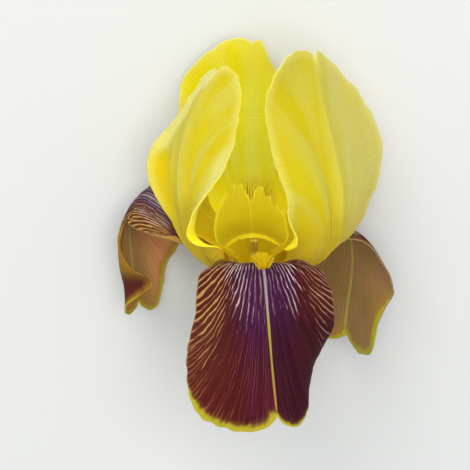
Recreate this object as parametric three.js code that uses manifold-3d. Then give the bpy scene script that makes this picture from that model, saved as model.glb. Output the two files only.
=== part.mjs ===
// One flower of a bearded iris, picked just below its ovary and laid on its back.
// The flower is built upright round its own axis, and one turn at the end lays it down.
// Lengths are millimetres. In the upright flower +Z runs up the axis, the origin is the centre of
// the rim where the petals leave the floral tube, and -Y is the side that looks up once it lies down.

import * as THREE from 'three';
import { mergeVertices } from 'three/addons/utils/BufferGeometryUtils.js';
import Module from 'manifold-3d';

const wasm = await Module();
wasm.setup();

// Driving dimensions
const LYING_DEPTH = 38; // from the axis down to the surface the flower lies on
const PRESS_ROUND = 2.5; // how gently a petal bends where it meets that surface
const PETAL_THICKNESS = 0.8;
const STYLE_THICKNESS = 1.0;
const SEAT_GAP = 0.3; // between pieces that touch

const FALL_BLADE = 26; // half width of a fall
const FALL_CLAW = 8; // half width where a fall's claw ends
const FALL_ROOT = 4.2;
const STANDARD_BLADE = 32;
const STANDARD_CLAW = 5.5;
const STANDARD_ROOT = 2.8;
const STYLE_BLADE = 12.5;
const STYLE_CLAW = 7;
const STYLE_ROOT = 2;

const FALL_GRID = [16, 20]; // cells along the veins and across them
const STANDARD_GRID = [15, 20];
const STYLE_GRID = [10, 12];

const COLOURS = {
  fall: 0x5a1526,
  standard: 0xf2dc2a,
  style: 0xecc814,
  beard: 0xf0b400,
  stamen: 0xe8d8a0,
  stem: 0x6d8f3a,
  spathe: 0x9a9a5c,
};

const radians = THREE.MathUtils.degToRad;
const mix = THREE.MathUtils.lerp;

// A petal is described by stations along its midrib. Each has the midrib's place [out from the axis,
// to the side, up], the sheet's twist about the midrib in degrees, and how each half of the sheet
// bends towards its inner face, in degrees for each millimetre. A margin may also roll: [degrees for
// each millimetre, distance from the midrib where it starts]. The left half is the one towards -Y.
const FLAT = [0, 16];
const station = (at, twist, left, right, leftRoll = FLAT, rightRoll = FLAT) => ({
  at,
  bend: [twist, left, right, ...leftRoll, ...rightRoll],
});

// Each half of a margin is a list of points [half width, share of the petal's length] from the end
// of the claw to the tip, so a notched tip ends lower than its lobes.
const FALLS = {
  front: {
    turn: -90,
    left: [
      [FALL_CLAW, 0.11], [10.5, 0.15], [13, 0.2], [16.5, 0.26], [20, 0.32], [22, 0.41],
      [23.6, 0.51], [26, 0.62], [27.5, 0.73], [26.8, 0.845], [22, 0.93], [13, 0.98],
      [4.5, 0.975], [1, 0.945], [0, 0.925],
    ],
    right: [
      [FALL_CLAW, 0.14], [10, 0.18], [12.5, 0.22], [15.5, 0.27], [19, 0.32], [22.5, 0.42],
      [24, 0.52], [24.5, 0.63], [23, 0.75], [18.5, 0.87], [11, 0.955], [5.5, 0.98],
      [1.5, 0.95], [0, 0.925],
    ],
    stations: [
      station([7.5, 0.4, 0], 0, 5, 5),
      station([16, 1, 6.5], 0, 3.5, 3.5),
      station([26, 2, 11], 0, 0, 0, [-6, 13], [-6, 13]),
      station([35, 2.9, 12], 0, -0.5, -0.6, [-6, 15], [-6, 15]),
      station([42, 3.6, 6.5], 0, -0.9, -1.4, [-3, 17], [-2, 17]),
      station([45.5, 4.6, -5], 0, -0.5, -2.2),
      station([46.5, 5.6, -17], 0, -0.2, -3.6),
      station([46.5, 6.8, -29], 0, -0.1, -4.8),
      station([45, 8, -41], 0, -0.2, -5.8),
    ],
    ruffle: { height: 0.9, waves: 5, phase: 0.6 },
  },
  right: {
    turn: 34,
    left: [
      [FALL_CLAW, 0.23], [12, 0.28], [17, 0.36], [22, 0.46], [26, 0.57], [26.5, 0.67],
      [21, 0.77], [20, 0.87], [19.5, 0.965], [13, 1.005], [4, 0.985], [1, 0.955],
      [0, 0.945],
    ],
    right: [
      [FALL_CLAW, 0.25], [13, 0.3], [19, 0.38], [23, 0.48], [25, 0.6], [24.5, 0.73],
      [21, 0.85], [15, 0.94], [8, 0.985], [2, 0.97], [0, 0.945],
    ],
    stations: [
      station([7.5, 0, 0], 0, 5, 5),
      station([16, 0, 6.5], 0, 4, 4),
      station([26, 0, 12.5], 0, -0.4, 0.5),
      station([34.5, 0, 15], 0, -1.6, -0.8),
      station([40.5, 0, 11.5], 0, -1.2, -1),
      station([42.8, 0, 3], 0, -0.7, -1),
      station([42.3, 0, -7], 0, -0.4, -0.8),
      station([40.2, 0, -18], 0, -0.4, -0.8),
      station([38.5, 0, -30], 0, -0.2, -0.6),
    ],
    ruffle: { height: 1.2, waves: 5, phase: 2.2 },
  },
  left: {
    turn: 150,
    left: [
      [FALL_CLAW, 0.25], [12.5, 0.3], [18, 0.38], [23, 0.47], [26, 0.56], [27, 0.65],
      [27.5, 0.73], [23.5, 0.775], [17, 0.83], [14, 0.88], [12.5, 0.93], [9.5, 0.98],
      [7, 1], [3, 0.99], [1, 0.97], [0, 0.95],
    ],
    right: [
      [FALL_CLAW, 0.25], [12, 0.3], [14, 0.38], [13.5, 0.45], [13, 0.51], [12.5, 0.58],
      [11.5, 0.64], [10.5, 0.69], [9.5, 0.73], [9, 0.77], [13, 0.795], [21, 0.8],
      [24.5, 0.83], [23.5, 0.88], [17, 0.93], [10, 0.98], [3.5, 0.98], [0, 0.95],
    ],
    stations: [
      station([7.5, 0, 0], 0, 5, 5),
      station([17, 0, 7], -4, 4, 4),
      station([27, 0, 14.5], -12, 1, 0),
      station([37, 0, 22], -20, -0.6, -1.4),
      station([44, 0, 24.5], -20, -0.8, -2.6),
      station([49, 0, 20], -14, -0.8, -2.4),
      station([50.4, 0, 10.5], -4, -0.6, -2.4),
      station([49.6, 0, 1], 8, -0.4, -4),
      station([48.2, 0, -8], 15, -0.4, -5.6),
      station([46, 0, -18.5], 20, -0.4, -4.2),
    ],
    ruffle: { height: 1.0, waves: 5, phase: 4.1 },
  },
};

const STANDARDS = {
  right: {
    turn: -30,
    left: [
      [6.5, 0.12], [13, 0.18], [20.5, 0.25], [24, 0.34], [23.5, 0.43], [23.5, 0.56],
      [24.5, 0.7], [24.5, 0.84], [23, 0.92], [20, 0.985], [15, 1.02], [9, 1.03],
      [3.5, 1.01], [0, 0.955],
    ],
    right: [
      [STANDARD_CLAW, 0.15], [12, 0.21], [19, 0.29], [25, 0.4], [30, 0.52],
      [STANDARD_BLADE, 0.66], [25, 0.82], [15, 0.94], [7, 1], [2.5, 1.015], [0, 0.955],
    ],
    stations: [
      station([6.8, 0, 0], 0, 8, 8, [-4, 6]),
      station([15, 0, 4.5], 0, 5, 5, [-14, 8]),
      station([26, 0, 10], 0, 4.4, 1.6, [-16, 12]),
      station([32, 0, 19], 0, 3.4, 0.6, [-14, 14]),
      station([33, 0, 32], 0, 2.2, 0.2, [-4, 18], [-1, 16]),
      station([30, 0, 46], 0, 2.2, 0, [0, 18], [-1, 16]),
      station([26, 0, 61], 0, 1.8, 0, [0, 18], [-0.8, 16]),
      station([23, 0, 77], 0, 1.0, 0, [-1.5, 14]),
    ],
    ruffle: { height: 1.0, waves: 4, phase: 0.3 },
  },
  left: {
    turn: 210,
    left: [
      [STANDARD_CLAW, 0.15], [11.5, 0.21], [15, 0.3], [20.5, 0.4], [23, 0.51], [22.5, 0.63],
      [18, 0.75], [12, 0.88], [8, 0.97], [2, 0.985], [0, 0.96],
    ],
    right: [
      [6.5, 0.12], [10.5, 0.17], [12.5, 0.22], [12.5, 0.28], [12, 0.33], [13.5, 0.38],
      [16.5, 0.45], [19.5, 0.55], [20, 0.68], [18.5, 0.81], [15, 0.92], [9, 0.99], [2, 1],
      [0, 0.96],
    ],
    stations: [
      station([6.8, 0, 0], 0, 8, 8),
      station([15, 0, 4.5], 0, 5, 5),
      station([21.5, 0, 10], 0, 2.4, 3.6),
      station([25.2, 0, 17.5], 0, 2, 2.8, [-5, 12], [-9, 3.5]),
      station([27, 0, 26], 0, 2.4, 2.6, [-9, 11], [-9, 4]),
      station([28.3, 0, 36], 0, 2.4, 3.2, [-10, 11], [-10, 9]),
      station([26.5, 0, 48], 0, 2.4, 3.2, [-9, 11], [-9, 12]),
      station([21.3, 0, 60.5], 0, 3.2, 3, [-5, 9], [-7, 14]),
      station([13, 0, 73.5], 0, 3, 3.6, [-4, 6], [-2, 8]),
    ],
    ruffle: { height: 1.0, waves: 4, phase: 1.7 },
  },
  back: {
    turn: 90,
    left: [
      [STANDARD_CLAW, 0.14], [12, 0.22], [16.5, 0.31], [20.5, 0.43], [21.5, 0.56],
      [17.5, 0.7], [9.5, 0.84], [5.2, 0.945], [3, 0.99], [1, 0.995], [0, 0.98],
    ],
    right: [
      [STANDARD_CLAW, 0.14], [12.5, 0.22], [18.5, 0.31], [24, 0.43], [27, 0.56], [27, 0.7],
      [25.5, 0.81], [20.5, 0.885], [12.5, 0.955], [5, 1], [1.5, 0.995], [0, 0.98],
    ],
    stations: [
      station([6.8, 0, 0], 0, 8, 8),
      station([13, 0, 6], 0, 5, 5),
      station([25.5, 0, 15], 0, 2.4, 2),
      station([35, 0, 30], 0, 2, 1.4),
      station([41, 0, 48], 0, 2, 1),
      station([35.5, 0, 64], 0, 2.4, 0.6),
      station([24, 0, 79], 0, 2.6, 0.6),
    ],
    ruffle: { height: 1.2, waves: 4, phase: 2.9 },
  },
};

// The style has one branch over each fall. It ends in a crest with two jagged lobes.
const STYLE = {
  left: [
    [STYLE_CLAW, 0.26], [10, 0.38], [12, 0.5], [STYLE_BLADE, 0.61], [11.6, 0.72],
    [9.4, 0.82], [6.4, 0.93], [4, 0.975], [1.6, 0.93], [0, 0.83],
  ],
  right: [
    [STYLE_CLAW, 0.26], [10, 0.38], [12, 0.5], [STYLE_BLADE, 0.61], [11.4, 0.71],
    [8.8, 0.8], [5.6, 0.885], [3.6, 0.93], [1.5, 0.9], [0, 0.83],
  ],
  stations: [
    station([1.2, 0, 5], 0, -4, -4),
    station([8, 0, 11.5], 0, -5, -5),
    station([15, -0.3, 17.5], 0, -4, -4),
    station([21, -0.7, 21.5], 0, -2.8, -2.8),
    station([25, -1, 26.5], 0, -1.6, -1.6),
    station([26.5, -1.3, 33], 0, -0.4, -0.4),
    station([26.5, -1.6, 40], 0, 0.6, 0.6),
  ],
};
const LIP = { at: 0.5, dip: -0.09, halfWidth: 9.6, depth: 1.3, droop: 1.2, thickness: 0.9 };
const STYLE_COLUMN = { radius: 2.3, bottom: 0.6, top: 7.5 };

// A stamen stands under each branch of the style: a narrow filament, then a long anther.
const FILAMENT = [[5.4, 1.2], [8, 5.2], [11.5, 9.6], [15.2, 13]];
const ANTHER = [[15, 12.7], [18, 15.6], [21, 17.7]];

const BEARD = { from: 0.13, to: 0.37, hairs: 44, hairLength: 3.4, hairRadius: 0.42 };

// Outline of the floral tube, the three-lobed ovary and the cut stalk: [radius, height, lobing].
const STEM = [
  [3.4, -50, 0], [3.5, -45, 0], [3.9, -40, 0.02], [5.0, -35, 0.08], [5.4, -30, 0.1],
  [5.2, -25, 0.1], [4.4, -19, 0.06], [4.1, -13, 0.02], [4.5, -8, 0], [5.8, -4, 0],
  [7.4, -1.8, 0], [8.2, -0.9, 0],
];

const SPATHES = {
  outer: {
    turn: 0,
    half: [[6, 0.1], [8.2, 0.25], [8.6, 0.42], [7.4, 0.6], [5, 0.78], [2.4, 0.92], [0, 1]],
    stations: [
      station([4.8, 0, -41], 0, 10, 10),
      station([6.5, 0, -34], 0, 8.4, 8.4),
      station([6.9, 0, -25], 0, 8, 8),
      station([6.6, 0, -15], 0, 8, 8),
      station([8, 0, -5], 0, 5, 5),
    ],
  },
  inner: {
    turn: 180,
    half: [[5.6, 0.1], [7.6, 0.25], [7.8, 0.42], [6.4, 0.6], [4.2, 0.78], [2, 0.92], [0, 1]],
    stations: [
      station([4.9, 0, -39], 0, 10, 10),
      station([6.9, 0, -33], 0, 8, 8),
      station([7.1, 0, -25], 0, 7.8, 7.8),
      station([6.7, 0, -17], 0, 8, 8),
      station([7.4, 0, -8], 0, 5, 5),
    ],
  },
};

// A smooth line through rows of numbers, t running from 0 at the first row to 1 at the last.
function through(rows, t) {
  const last = rows.length - 1;
  const place = THREE.MathUtils.clamp(t, 0, 1) * last;
  const i = Math.min(Math.floor(place), last - 1);
  const w = place - i;
  const beyond = (end, next) => end.map((value, k) => 2 * value - next[k]);
  const a = i > 0 ? rows[i - 1] : beyond(rows[0], rows[1]);
  const d = i + 2 <= last ? rows[i + 2] : beyond(rows[last], rows[last - 1]);
  return rows[i].map((b, k) => {
    const c = rows[i + 1][k];
    const pull = (2 * a[k] - 5 * b + 4 * c - d[k]) * w * w;
    const turn = (3 * b - a[k] - 3 * c + d[k]) * w ** 3;
    return 0.5 * (2 * b + (c - a[k]) * w + pull + turn);
  });
}

// Adds to a petal's description the curves that its sheet is made from.
function prepared(petal, blade, claw, root) {
  const curve = (points) => new THREE.CatmullRomCurve3(points, false, 'catmullrom', 0.5);
  const edge = (points) => curve(points.map(([x, s]) => new THREE.Vector3(x, s * blade, 0)));
  return {
    ruffle: { height: 0, waves: 0, phase: 0 },
    ...petal,
    blade,
    claw,
    root,
    rib: curve(petal.stations.map((one) => new THREE.Vector3(...one.at))),
    bends: petal.stations.map((one) => one.bend),
    left: edge(petal.left ?? petal.half),
    right: edge(petal.right ?? petal.half),
  };
}

// The flat petal: where vein v, from -1 at the left edge to 1 at the right, has got to at u, from 0
// at the root to 1 at the margin. Veins run side by side up the claw and fan out over the blade.
function onVein(petal, u, v) {
  const aside = Math.abs(v);
  const end = (v < 0 ? petal.left : petal.right).getPointAt(1 - aside);
  const reach = end.y / petal.blade;
  const spread = mix(0.45, 0.93, aside ** 6);
  const x = [aside * petal.root, aside * petal.claw * 0.75, end.x * spread, end.x];
  const s = [0, 0.42 * reach, 0.8 * reach, reach];
  const along = (p) =>
    p[0] * (1 - u) ** 3 + 3 * p[1] * u * (1 - u) ** 2 + 3 * p[2] * u * u * (1 - u) + p[3] * u ** 3;
  return [Math.sign(v) * along(x), along(s)];
}

// The same point on the bent petal, and the direction its inner face looks there.
function onSheet(petal, x, s) {
  const length = petal.rib.getLength();
  const t = petal.rib.getUtoTmapping(THREE.MathUtils.clamp(s, 0, 1));
  const along = petal.rib.getTangent(t);
  const centre = petal.rib.getPoint(t).addScaledVector(along, Math.max(s - 1, 0) * length);
  const [twist, left, right, ...rolls] = through(petal.bends, t);
  const side = new THREE.Vector3(0, 1, 0);
  side.addScaledVector(along, -side.dot(along)).normalize();
  side.applyAxisAngle(along, radians(twist));
  const face = along.clone().cross(side);
  const even = x < 0 ? left : right;
  const [roll, from] = x < 0 ? rolls.slice(0, 2) : rolls.slice(2);
  const steps = 16;
  const reach = Math.abs(x);
  let across = 0;
  let lift = 0;
  let angle = 0;
  for (let k = 0; k < steps; k++) {
    const d = ((k + 0.5) / steps) * reach;
    angle = radians(even * d + roll * Math.max(0, d - from));
    across += (Math.cos(angle) * reach) / steps;
    lift += (Math.sin(angle) * reach) / steps;
  }
  const hand = Math.sign(x) || 1;
  return {
    point: centre.addScaledVector(side, hand * across).addScaledVector(face, lift),
    normal: face.multiplyScalar(Math.cos(angle)).addScaledVector(side, -hand * Math.sin(angle)),
  };
}

const turned = (point, degrees) => point.applyAxisAngle(new THREE.Vector3(0, 0, 1), radians(degrees));

// Bends what would pass through the surface the flower lies on along that surface.
function pressed(point, thickness) {
  const limit = LYING_DEPTH - thickness / 2;
  const over = point.y - (limit - PRESS_ROUND);
  if (over > 2 * PRESS_ROUND) point.y = limit;
  else if (over > 0) point.y -= (over * over) / (4 * PRESS_ROUND);
  return point;
}

// A petal's middle surface, turned to its place round the axis.
function petalPoint(petal, thickness, u, v) {
  const { point, normal } = onSheet(petal, ...onVein(petal, u, v));
  const { height, waves, phase } = petal.ruffle;
  point.addScaledVector(normal, height * u ** 5 * Math.sin(waves * Math.PI * v + phase));
  return pressed(turned(point, petal.turn), thickness);
}

// A closed sheet of even thickness round a middle surface. Both faces are split alike.
function sheet(pointAt, [rows, columns], thickness) {
  const middle = [];
  const at = (i, j) => i * (columns + 1) + j;
  for (let i = 0; i <= rows; i++) {
    for (let j = 0; j <= columns; j++) {
      middle.push(pointAt(i / rows, (2 * j) / columns - 1));
    }
  }
  const quads = [];
  for (let i = 0; i < rows; i++) {
    for (let j = 0; j < columns; j++) {
      quads.push([at(i, j), at(i + 1, j), at(i + 1, j + 1), at(i, j + 1)]);
    }
  }
  const normals = middle.map(() => new THREE.Vector3());
  for (const [a, b, c, d] of quads) {
    const one = middle[c].clone().sub(middle[a]);
    const other = middle[d].clone().sub(middle[b]);
    const normal = one.cross(other).normalize();
    for (const k of [a, b, c, d]) normals[k].add(normal);
  }
  const faces = [];
  const count = middle.length;
  const quad = (a, b, c, d) => faces.push(a, b, c, a, c, d);
  for (const [a, b, c, d] of quads) {
    quad(a, b, c, d);
    faces.push(a + count, c + count, b + count, a + count, d + count, c + count);
  }
  const rim = (a, b) => quad(a, b, b + count, a + count);
  for (let j = 0; j < columns; j++) {
    rim(at(0, j), at(0, j + 1));
    rim(at(rows, j + 1), at(rows, j));
  }
  for (let i = 0; i < rows; i++) {
    rim(at(i + 1, 0), at(i, 0));
    rim(at(i, columns), at(i + 1, columns));
  }
  const positions = [];
  for (const side of [0.5, -0.5]) {
    middle.forEach((point, k) => {
      const shift = normals[k].clone().normalize().multiplyScalar(side * thickness);
      positions.push(...point.clone().add(shift).toArray());
    });
  }
  return new THREE.BufferGeometry()
    .setAttribute('position', new THREE.Float32BufferAttribute(positions, 3))
    .setIndex(faces);
}

// A closed body through rings of points that all have the same number of points.
function skin(rings) {
  const sides = rings[0].length;
  const positions = rings.flat().flatMap((point) => point.toArray());
  const faces = [];
  for (let i = 0; i + 1 < rings.length; i++) {
    for (let j = 0; j < sides; j++) {
      const [a, b] = [i * sides + j, i * sides + ((j + 1) % sides)];
      faces.push(a, b, b + sides, a, b + sides, a + sides);
    }
  }
  const last = (rings.length - 1) * sides;
  for (let j = 1; j + 1 < sides; j++) {
    faces.push(0, j + 1, j, last, last + j, last + j + 1);
  }
  return new THREE.BufferGeometry()
    .setAttribute('position', new THREE.Float32BufferAttribute(positions, 3))
    .setIndex(faces);
}

// A closed three-sided spike.
function spike([a, b, c], tip) {
  const corners = [a, b, c, tip].flatMap((point) => point.toArray());
  return new THREE.BufferGeometry()
    .setAttribute('position', new THREE.Float32BufferAttribute(corners, 3))
    .setIndex([0, 2, 1, 0, 1, 3, 1, 2, 3, 2, 0, 3]);
}

// A ring round a centre, with its own two directions and its half widths along them.
function ring(centre, one, other, a, b, sides) {
  return Array.from({ length: sides }, (_, k) => {
    const angle = (2 * Math.PI * k) / sides;
    return centre
      .clone()
      .addScaledVector(one, a * Math.cos(angle))
      .addScaledVector(other, b * Math.sin(angle));
  });
}

// Between three.js geometry and manifold-3d solids.
function solid(geometry) {
  const bare = geometry.clone();
  bare.deleteAttribute('normal');
  bare.deleteAttribute('uv');
  const merged = mergeVertices(bare, 1e-4);
  return new wasm.Manifold(
    new wasm.Mesh({
      numProp: 3,
      vertProperties: new Float32Array(merged.attributes.position.array),
      triVerts: new Uint32Array(merged.index.array),
    }),
  );
}

function geometryOf(body) {
  const mesh = body.getMesh();
  return new THREE.BufferGeometry()
    .setAttribute('position', new THREE.Float32BufferAttribute(mesh.vertProperties, 3))
    .setIndex(new THREE.Uint32BufferAttribute(mesh.triVerts, 1));
}

function together(geometries) {
  return geometryOf(wasm.Manifold.union(geometries.map(solid)));
}

const bloom = new THREE.Group();

function add(name, geometry, colour, roughness = 0.6) {
  const material = new THREE.MeshStandardMaterial({ color: colour, roughness, metalness: 0 });
  const mesh = new THREE.Mesh(geometry, material);
  mesh.name = name;
  bloom.add(mesh);
}

// Falls
const falls = {};
for (const [name, petal] of Object.entries(FALLS)) {
  falls[name] = prepared(petal, FALL_BLADE, FALL_CLAW, FALL_ROOT);
  const point = (u, v) => petalPoint(falls[name], PETAL_THICKNESS, u, v);
  add(`fall_${name}`, sheet(point, FALL_GRID, PETAL_THICKNESS), COLOURS.fall);
}

// Standards
for (const [name, petal] of Object.entries(STANDARDS)) {
  const made = prepared(petal, STANDARD_BLADE, STANDARD_CLAW, STANDARD_ROOT);
  const point = (u, v) => petalPoint(made, PETAL_THICKNESS, u, v);
  add(`standard_${name}`, sheet(point, STANDARD_GRID, PETAL_THICKNESS), COLOURS.standard);
}

// Style: a short column and three branches, each with its lip, in one piece
const up = new THREE.Vector3(0, 0, 1);
const out = new THREE.Vector3(1, 0, 0);
const aside = new THREE.Vector3(0, 1, 0);
const { radius, bottom, top } = STYLE_COLUMN;
const column = [bottom, top].map((z) => ring(up.clone().multiplyScalar(z), out, aside, radius, radius, 12));
const styles = [skin(column)];
for (const { turn } of Object.values(FALLS)) {
  const branch = prepared({ ...STYLE, turn }, STYLE_BLADE, STYLE_CLAW, STYLE_ROOT);
  const point = (u, v) => petalPoint(branch, STYLE_THICKNESS, u, v);
  styles.push(sheet(point, STYLE_GRID, STYLE_THICKNESS));
  const lip = (u, v) => {
    const { point: root } = onSheet(branch, v * LIP.halfWidth, LIP.at + LIP.dip * v * v);
    const reach = u * LIP.depth * Math.sqrt(1 - 0.8 * v * v);
    root.addScaledVector(out, reach).addScaledVector(up, -LIP.droop * reach);
    return turned(root, turn);
  };
  styles.push(sheet(lip, [2, 8], LIP.thickness));
}
add('style', together(styles), COLOURS.style);

// Stamens
const upward = (points) =>
  new THREE.CatmullRomCurve3(points.map(([r, z]) => new THREE.Vector3(r, 0, z)), false, 'catmullrom');

function rod(curve, steps, sides, width, depth) {
  return skin(
    Array.from({ length: steps + 1 }, (_, k) => {
      const t = k / steps;
      const face = curve.getTangentAt(t).cross(aside);
      return ring(curve.getPointAt(t), aside, face, width(t), depth(t), sides);
    }),
  );
}

for (const [name, { turn }] of Object.entries(FALLS)) {
  const filament = rod(upward(FILAMENT), 5, 6, (t) => mix(0.9, 0.5, t), (t) => mix(0.5, 0.35, t));
  const end = (t) => Math.sqrt(Math.max(0.12, 1 - (2 * t - 1) ** 4));
  const lobes = [-0.6, 0.6].map((shift) =>
    rod(upward(ANTHER), 5, 6, (t) => 0.85 * end(t), (t) => 0.75 * end(t)).translate(0, shift, 0),
  );
  const stamen = together([filament, ...lobes]);
  add(`stamen_${name}`, stamen.rotateZ(radians(turn)), COLOURS.stamen);
}

// Beards: a low ridge along each fall's midrib, full of short hairs
function random(seed) {
  let state = seed;
  return () => {
    state = (Math.imul(state, 1664525) + 1013904223) >>> 0;
    return state / 2 ** 32;
  };
}

Object.entries(falls).forEach(([name, fall], index) => {
  const chance = random(41 + index);
  const { from, to, hairs, hairLength, hairRadius } = BEARD;
  const above = (x, s, height) => {
    const { point, normal } = onSheet(fall, x, s);
    return { point: point.addScaledVector(normal, height), normal };
  };
  const ridge = skin(
    Array.from({ length: 10 }, (_, k) => {
      const t = k / 9;
      const s = mix(from, to, t);
      const size = Math.sqrt(Math.max(0.1, 1 - (2 * t - 1) ** 6));
      const { point, normal } = above(0, s, PETAL_THICKNESS / 2 + SEAT_GAP + 0.85);
      return ring(point, aside, normal, 1.5 * size, 0.65 * size, 8);
    }),
  );
  const spikes = Array.from({ length: hairs }, (_, k) => {
    const s = mix(from + 0.01, to - 0.01, (k + chance()) / hairs);
    const x = mix(-1, 1, chance());
    const { point, normal } = above(x, s, PETAL_THICKNESS / 2 + SEAT_GAP + 0.95);
    const lean = new THREE.Vector3(mix(-0.2, 0.6, chance()), 0.55 * x + mix(-0.2, 0.2, chance()), 0);
    const along = normal.add(lean).normalize();
    const one = along.clone().cross(up).normalize();
    const foot = ring(point, one, along.clone().cross(one), hairRadius, hairRadius, 3);
    const length = hairLength * mix(0.7, 1, chance()) * Math.min(1, 0.55 + (1.5 * k) / hairs);
    const tip = point.clone().addScaledVector(along, length);
    return spike(foot, tip);
  });
  const beard = together([ridge, ...spikes]);
  add(`beard_${name}`, beard.rotateZ(radians(fall.turn)), COLOURS.beard);
});

// Stalk, ovary and floral tube
const stemRings = Array.from({ length: 17 }, (_, k) => {
  const [r, z, lobing] = through(STEM, k / 16);
  return Array.from({ length: 24 }, (_, j) => {
    const angle = (2 * Math.PI * j) / 24;
    const reach = r * (1 + lobing * Math.cos(3 * angle + Math.PI / 2));
    return new THREE.Vector3(reach * Math.cos(angle), reach * Math.sin(angle), z);
  });
});
add('stem', skin(stemRings), COLOURS.stem);

// Spathes: two papery bracts round the ovary
for (const [name, spathe] of Object.entries(SPATHES)) {
  const made = prepared(spathe, 8, 6, 3.2);
  const point = (u, v) => petalPoint(made, PETAL_THICKNESS, u, v);
  add(`spathe_${name}`, sheet(point, [10, 12], PETAL_THICKNESS), COLOURS.spathe, 0.8);
}

// Laid down, and moved so that the origin is under the middle of the whole flower
bloom.rotation.x = -Math.PI / 2;
const flower = new THREE.Group();
flower.add(bloom);
const box = new THREE.Box3().setFromObject(flower, true);
const middle = box.getCenter(new THREE.Vector3());
flower.position.set(-middle.x, -middle.y, -box.min.z);

export default flower;
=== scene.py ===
# %% [markdown]
# # A bearded iris bloom, laid on a pale table
# An iris bloom has three hanging petals called falls, three upright ones called standards, and in
# the middle a style with three branches that look like small petals. Each fall carries a beard.
# Every petal here is a flat grid that is bent by a few formulas, so its veins are born with it:
# the same numbers that place a point also say which vein it lies on and how far the edge is.
#
# The lesson goes from the fixed frame to the camera and the light, then to the petal formulas and
# the tools for finishes, and from there piece by piece through the flower.

# %% The fixed frame
import math

import bpy
import numpy as np
from mathutils import Matrix, Vector


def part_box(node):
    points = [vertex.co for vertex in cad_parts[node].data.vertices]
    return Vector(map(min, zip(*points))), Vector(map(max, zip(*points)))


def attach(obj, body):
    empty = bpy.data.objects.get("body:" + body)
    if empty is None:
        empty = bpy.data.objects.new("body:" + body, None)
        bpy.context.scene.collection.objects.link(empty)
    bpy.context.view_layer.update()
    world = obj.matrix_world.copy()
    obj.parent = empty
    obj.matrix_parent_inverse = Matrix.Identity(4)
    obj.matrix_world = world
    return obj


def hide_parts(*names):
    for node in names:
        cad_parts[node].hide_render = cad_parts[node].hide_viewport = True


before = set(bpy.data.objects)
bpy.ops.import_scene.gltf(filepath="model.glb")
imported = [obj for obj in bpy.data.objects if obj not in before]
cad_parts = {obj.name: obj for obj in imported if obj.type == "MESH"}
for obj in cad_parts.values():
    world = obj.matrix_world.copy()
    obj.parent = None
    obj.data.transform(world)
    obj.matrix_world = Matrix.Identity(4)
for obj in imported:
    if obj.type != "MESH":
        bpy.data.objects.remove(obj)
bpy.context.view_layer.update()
bpy.ops.object.select_all(action="DESELECT")

# %% [markdown]
# ## Where the flower's own axis runs
# The formulas below speak of an upright flower: its axis is +Z, and its origin is the middle of
# the rim where the petals leave the floral tube. The flower lies down, so its axis runs along +Y
# of the table. The tube's top ring is round and sits 0.9 mm under that rim, so it gives the place.

# %% From the upright flower to the table
MM = 0.001
LYING_DEPTH = 38.0  # from the axis down to the table
RIM_ABOVE_TUBE = 0.9

tube_low, tube_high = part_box("stem")
RIM = np.array([(tube_low.x + tube_high.x) / 2, tube_high.y + RIM_ABOVE_TUBE * MM, LYING_DEPTH * MM])


def laid_down(points):
    """Upright flower, in millimetres, to the table, in metres."""
    points = np.asarray(points, float)
    return np.stack([points[:, 0], points[:, 2], -points[:, 1]], axis=1) * MM + RIM


print("rim centre:", RIM.round(5))

# %% [markdown]
# ## The camera
# The bloom is seen from a little above its equator, an arm's length away, through a long lens, so
# the petals keep their proportions. With the flower on its back this means that the camera hangs
# over the table and leans a little towards the tips of the standards.

# %% Camera
PICTURE = 470  # width and height of the picture in pixels
MM_PER_PIXEL = 0.34
RIM_PIXEL = (253, 278)  # where the rim's centre is seen
LEAN = math.radians(12)
DISTANCE = 0.62  # metres
SENSOR = 36.0  # millimetres

right = Vector((1, 0, 0))
towards = Vector((0, math.sin(LEAN), math.cos(LEAN)))
upward = Vector((0, math.cos(LEAN), -math.sin(LEAN)))
centre = PICTURE / 2
target = Vector(RIM)
target += right * (centre - RIM_PIXEL[0]) * MM_PER_PIXEL * MM
target += upward * (RIM_PIXEL[1] - centre) * MM_PER_PIXEL * MM

camera_data = bpy.data.cameras.new("camera")
camera_data.sensor_width = SENSOR
camera_data.lens = SENSOR * DISTANCE / (PICTURE * MM_PER_PIXEL * MM)
camera = bpy.data.objects.new("camera", camera_data)
bpy.context.scene.collection.objects.link(camera)
turn = Matrix((right, upward, towards)).transposed().to_4x4()
camera.matrix_world = Matrix.Translation(target + towards * DISTANCE) @ turn
bpy.context.scene.camera = camera
print("camera lens:", round(camera_data.lens, 1), "mm")

# %% [markdown]
# ## Light and table
# Soft light suits petals, because it wraps round their bends and shines through their edges. A
# large lamp beyond the standards stands for the bright sky over an upright bloom, a smaller one
# overhead fills the falls, and the pale world keeps the throat from going black.

# %% Table, lamps and world
TABLE_SIZE, TABLE_COLOUR, TABLE_ROUGHNESS = 6, (0.74, 0.74, 0.71, 1), 0.85
WORLD_COLOUR, WORLD_STRENGTH = (0.9, 0.95, 1.0, 1), 0.56
LAMPS_LOOK_AT = Vector((0, 0, 0.04))

scene = bpy.context.scene
scene.view_settings.view_transform = "Standard"

bpy.ops.mesh.primitive_plane_add(size=TABLE_SIZE, location=(0, 0, 0))
table = bpy.context.object
table.name = "table_top"
table_finish = bpy.data.materials.new("table_matte")
table_finish.use_nodes = True
table_shader = table_finish.node_tree.nodes["Principled BSDF"]
table_shader.inputs["Base Color"].default_value = TABLE_COLOUR
table_shader.inputs["Roughness"].default_value = TABLE_ROUGHNESS
table.data.materials.append(table_finish)


def lamp(name, place, size, watts, colour):
    """A square soft lamp that looks at the flower."""
    data = bpy.data.lights.new(name, "AREA")
    data.size = size
    data.energy = watts
    data.color = colour
    made = bpy.data.objects.new(name, data)
    scene.collection.objects.link(made)
    made.location = place
    made.rotation_euler = (LAMPS_LOOK_AT - made.location).to_track_quat("-Z", "Y").to_euler()


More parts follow.
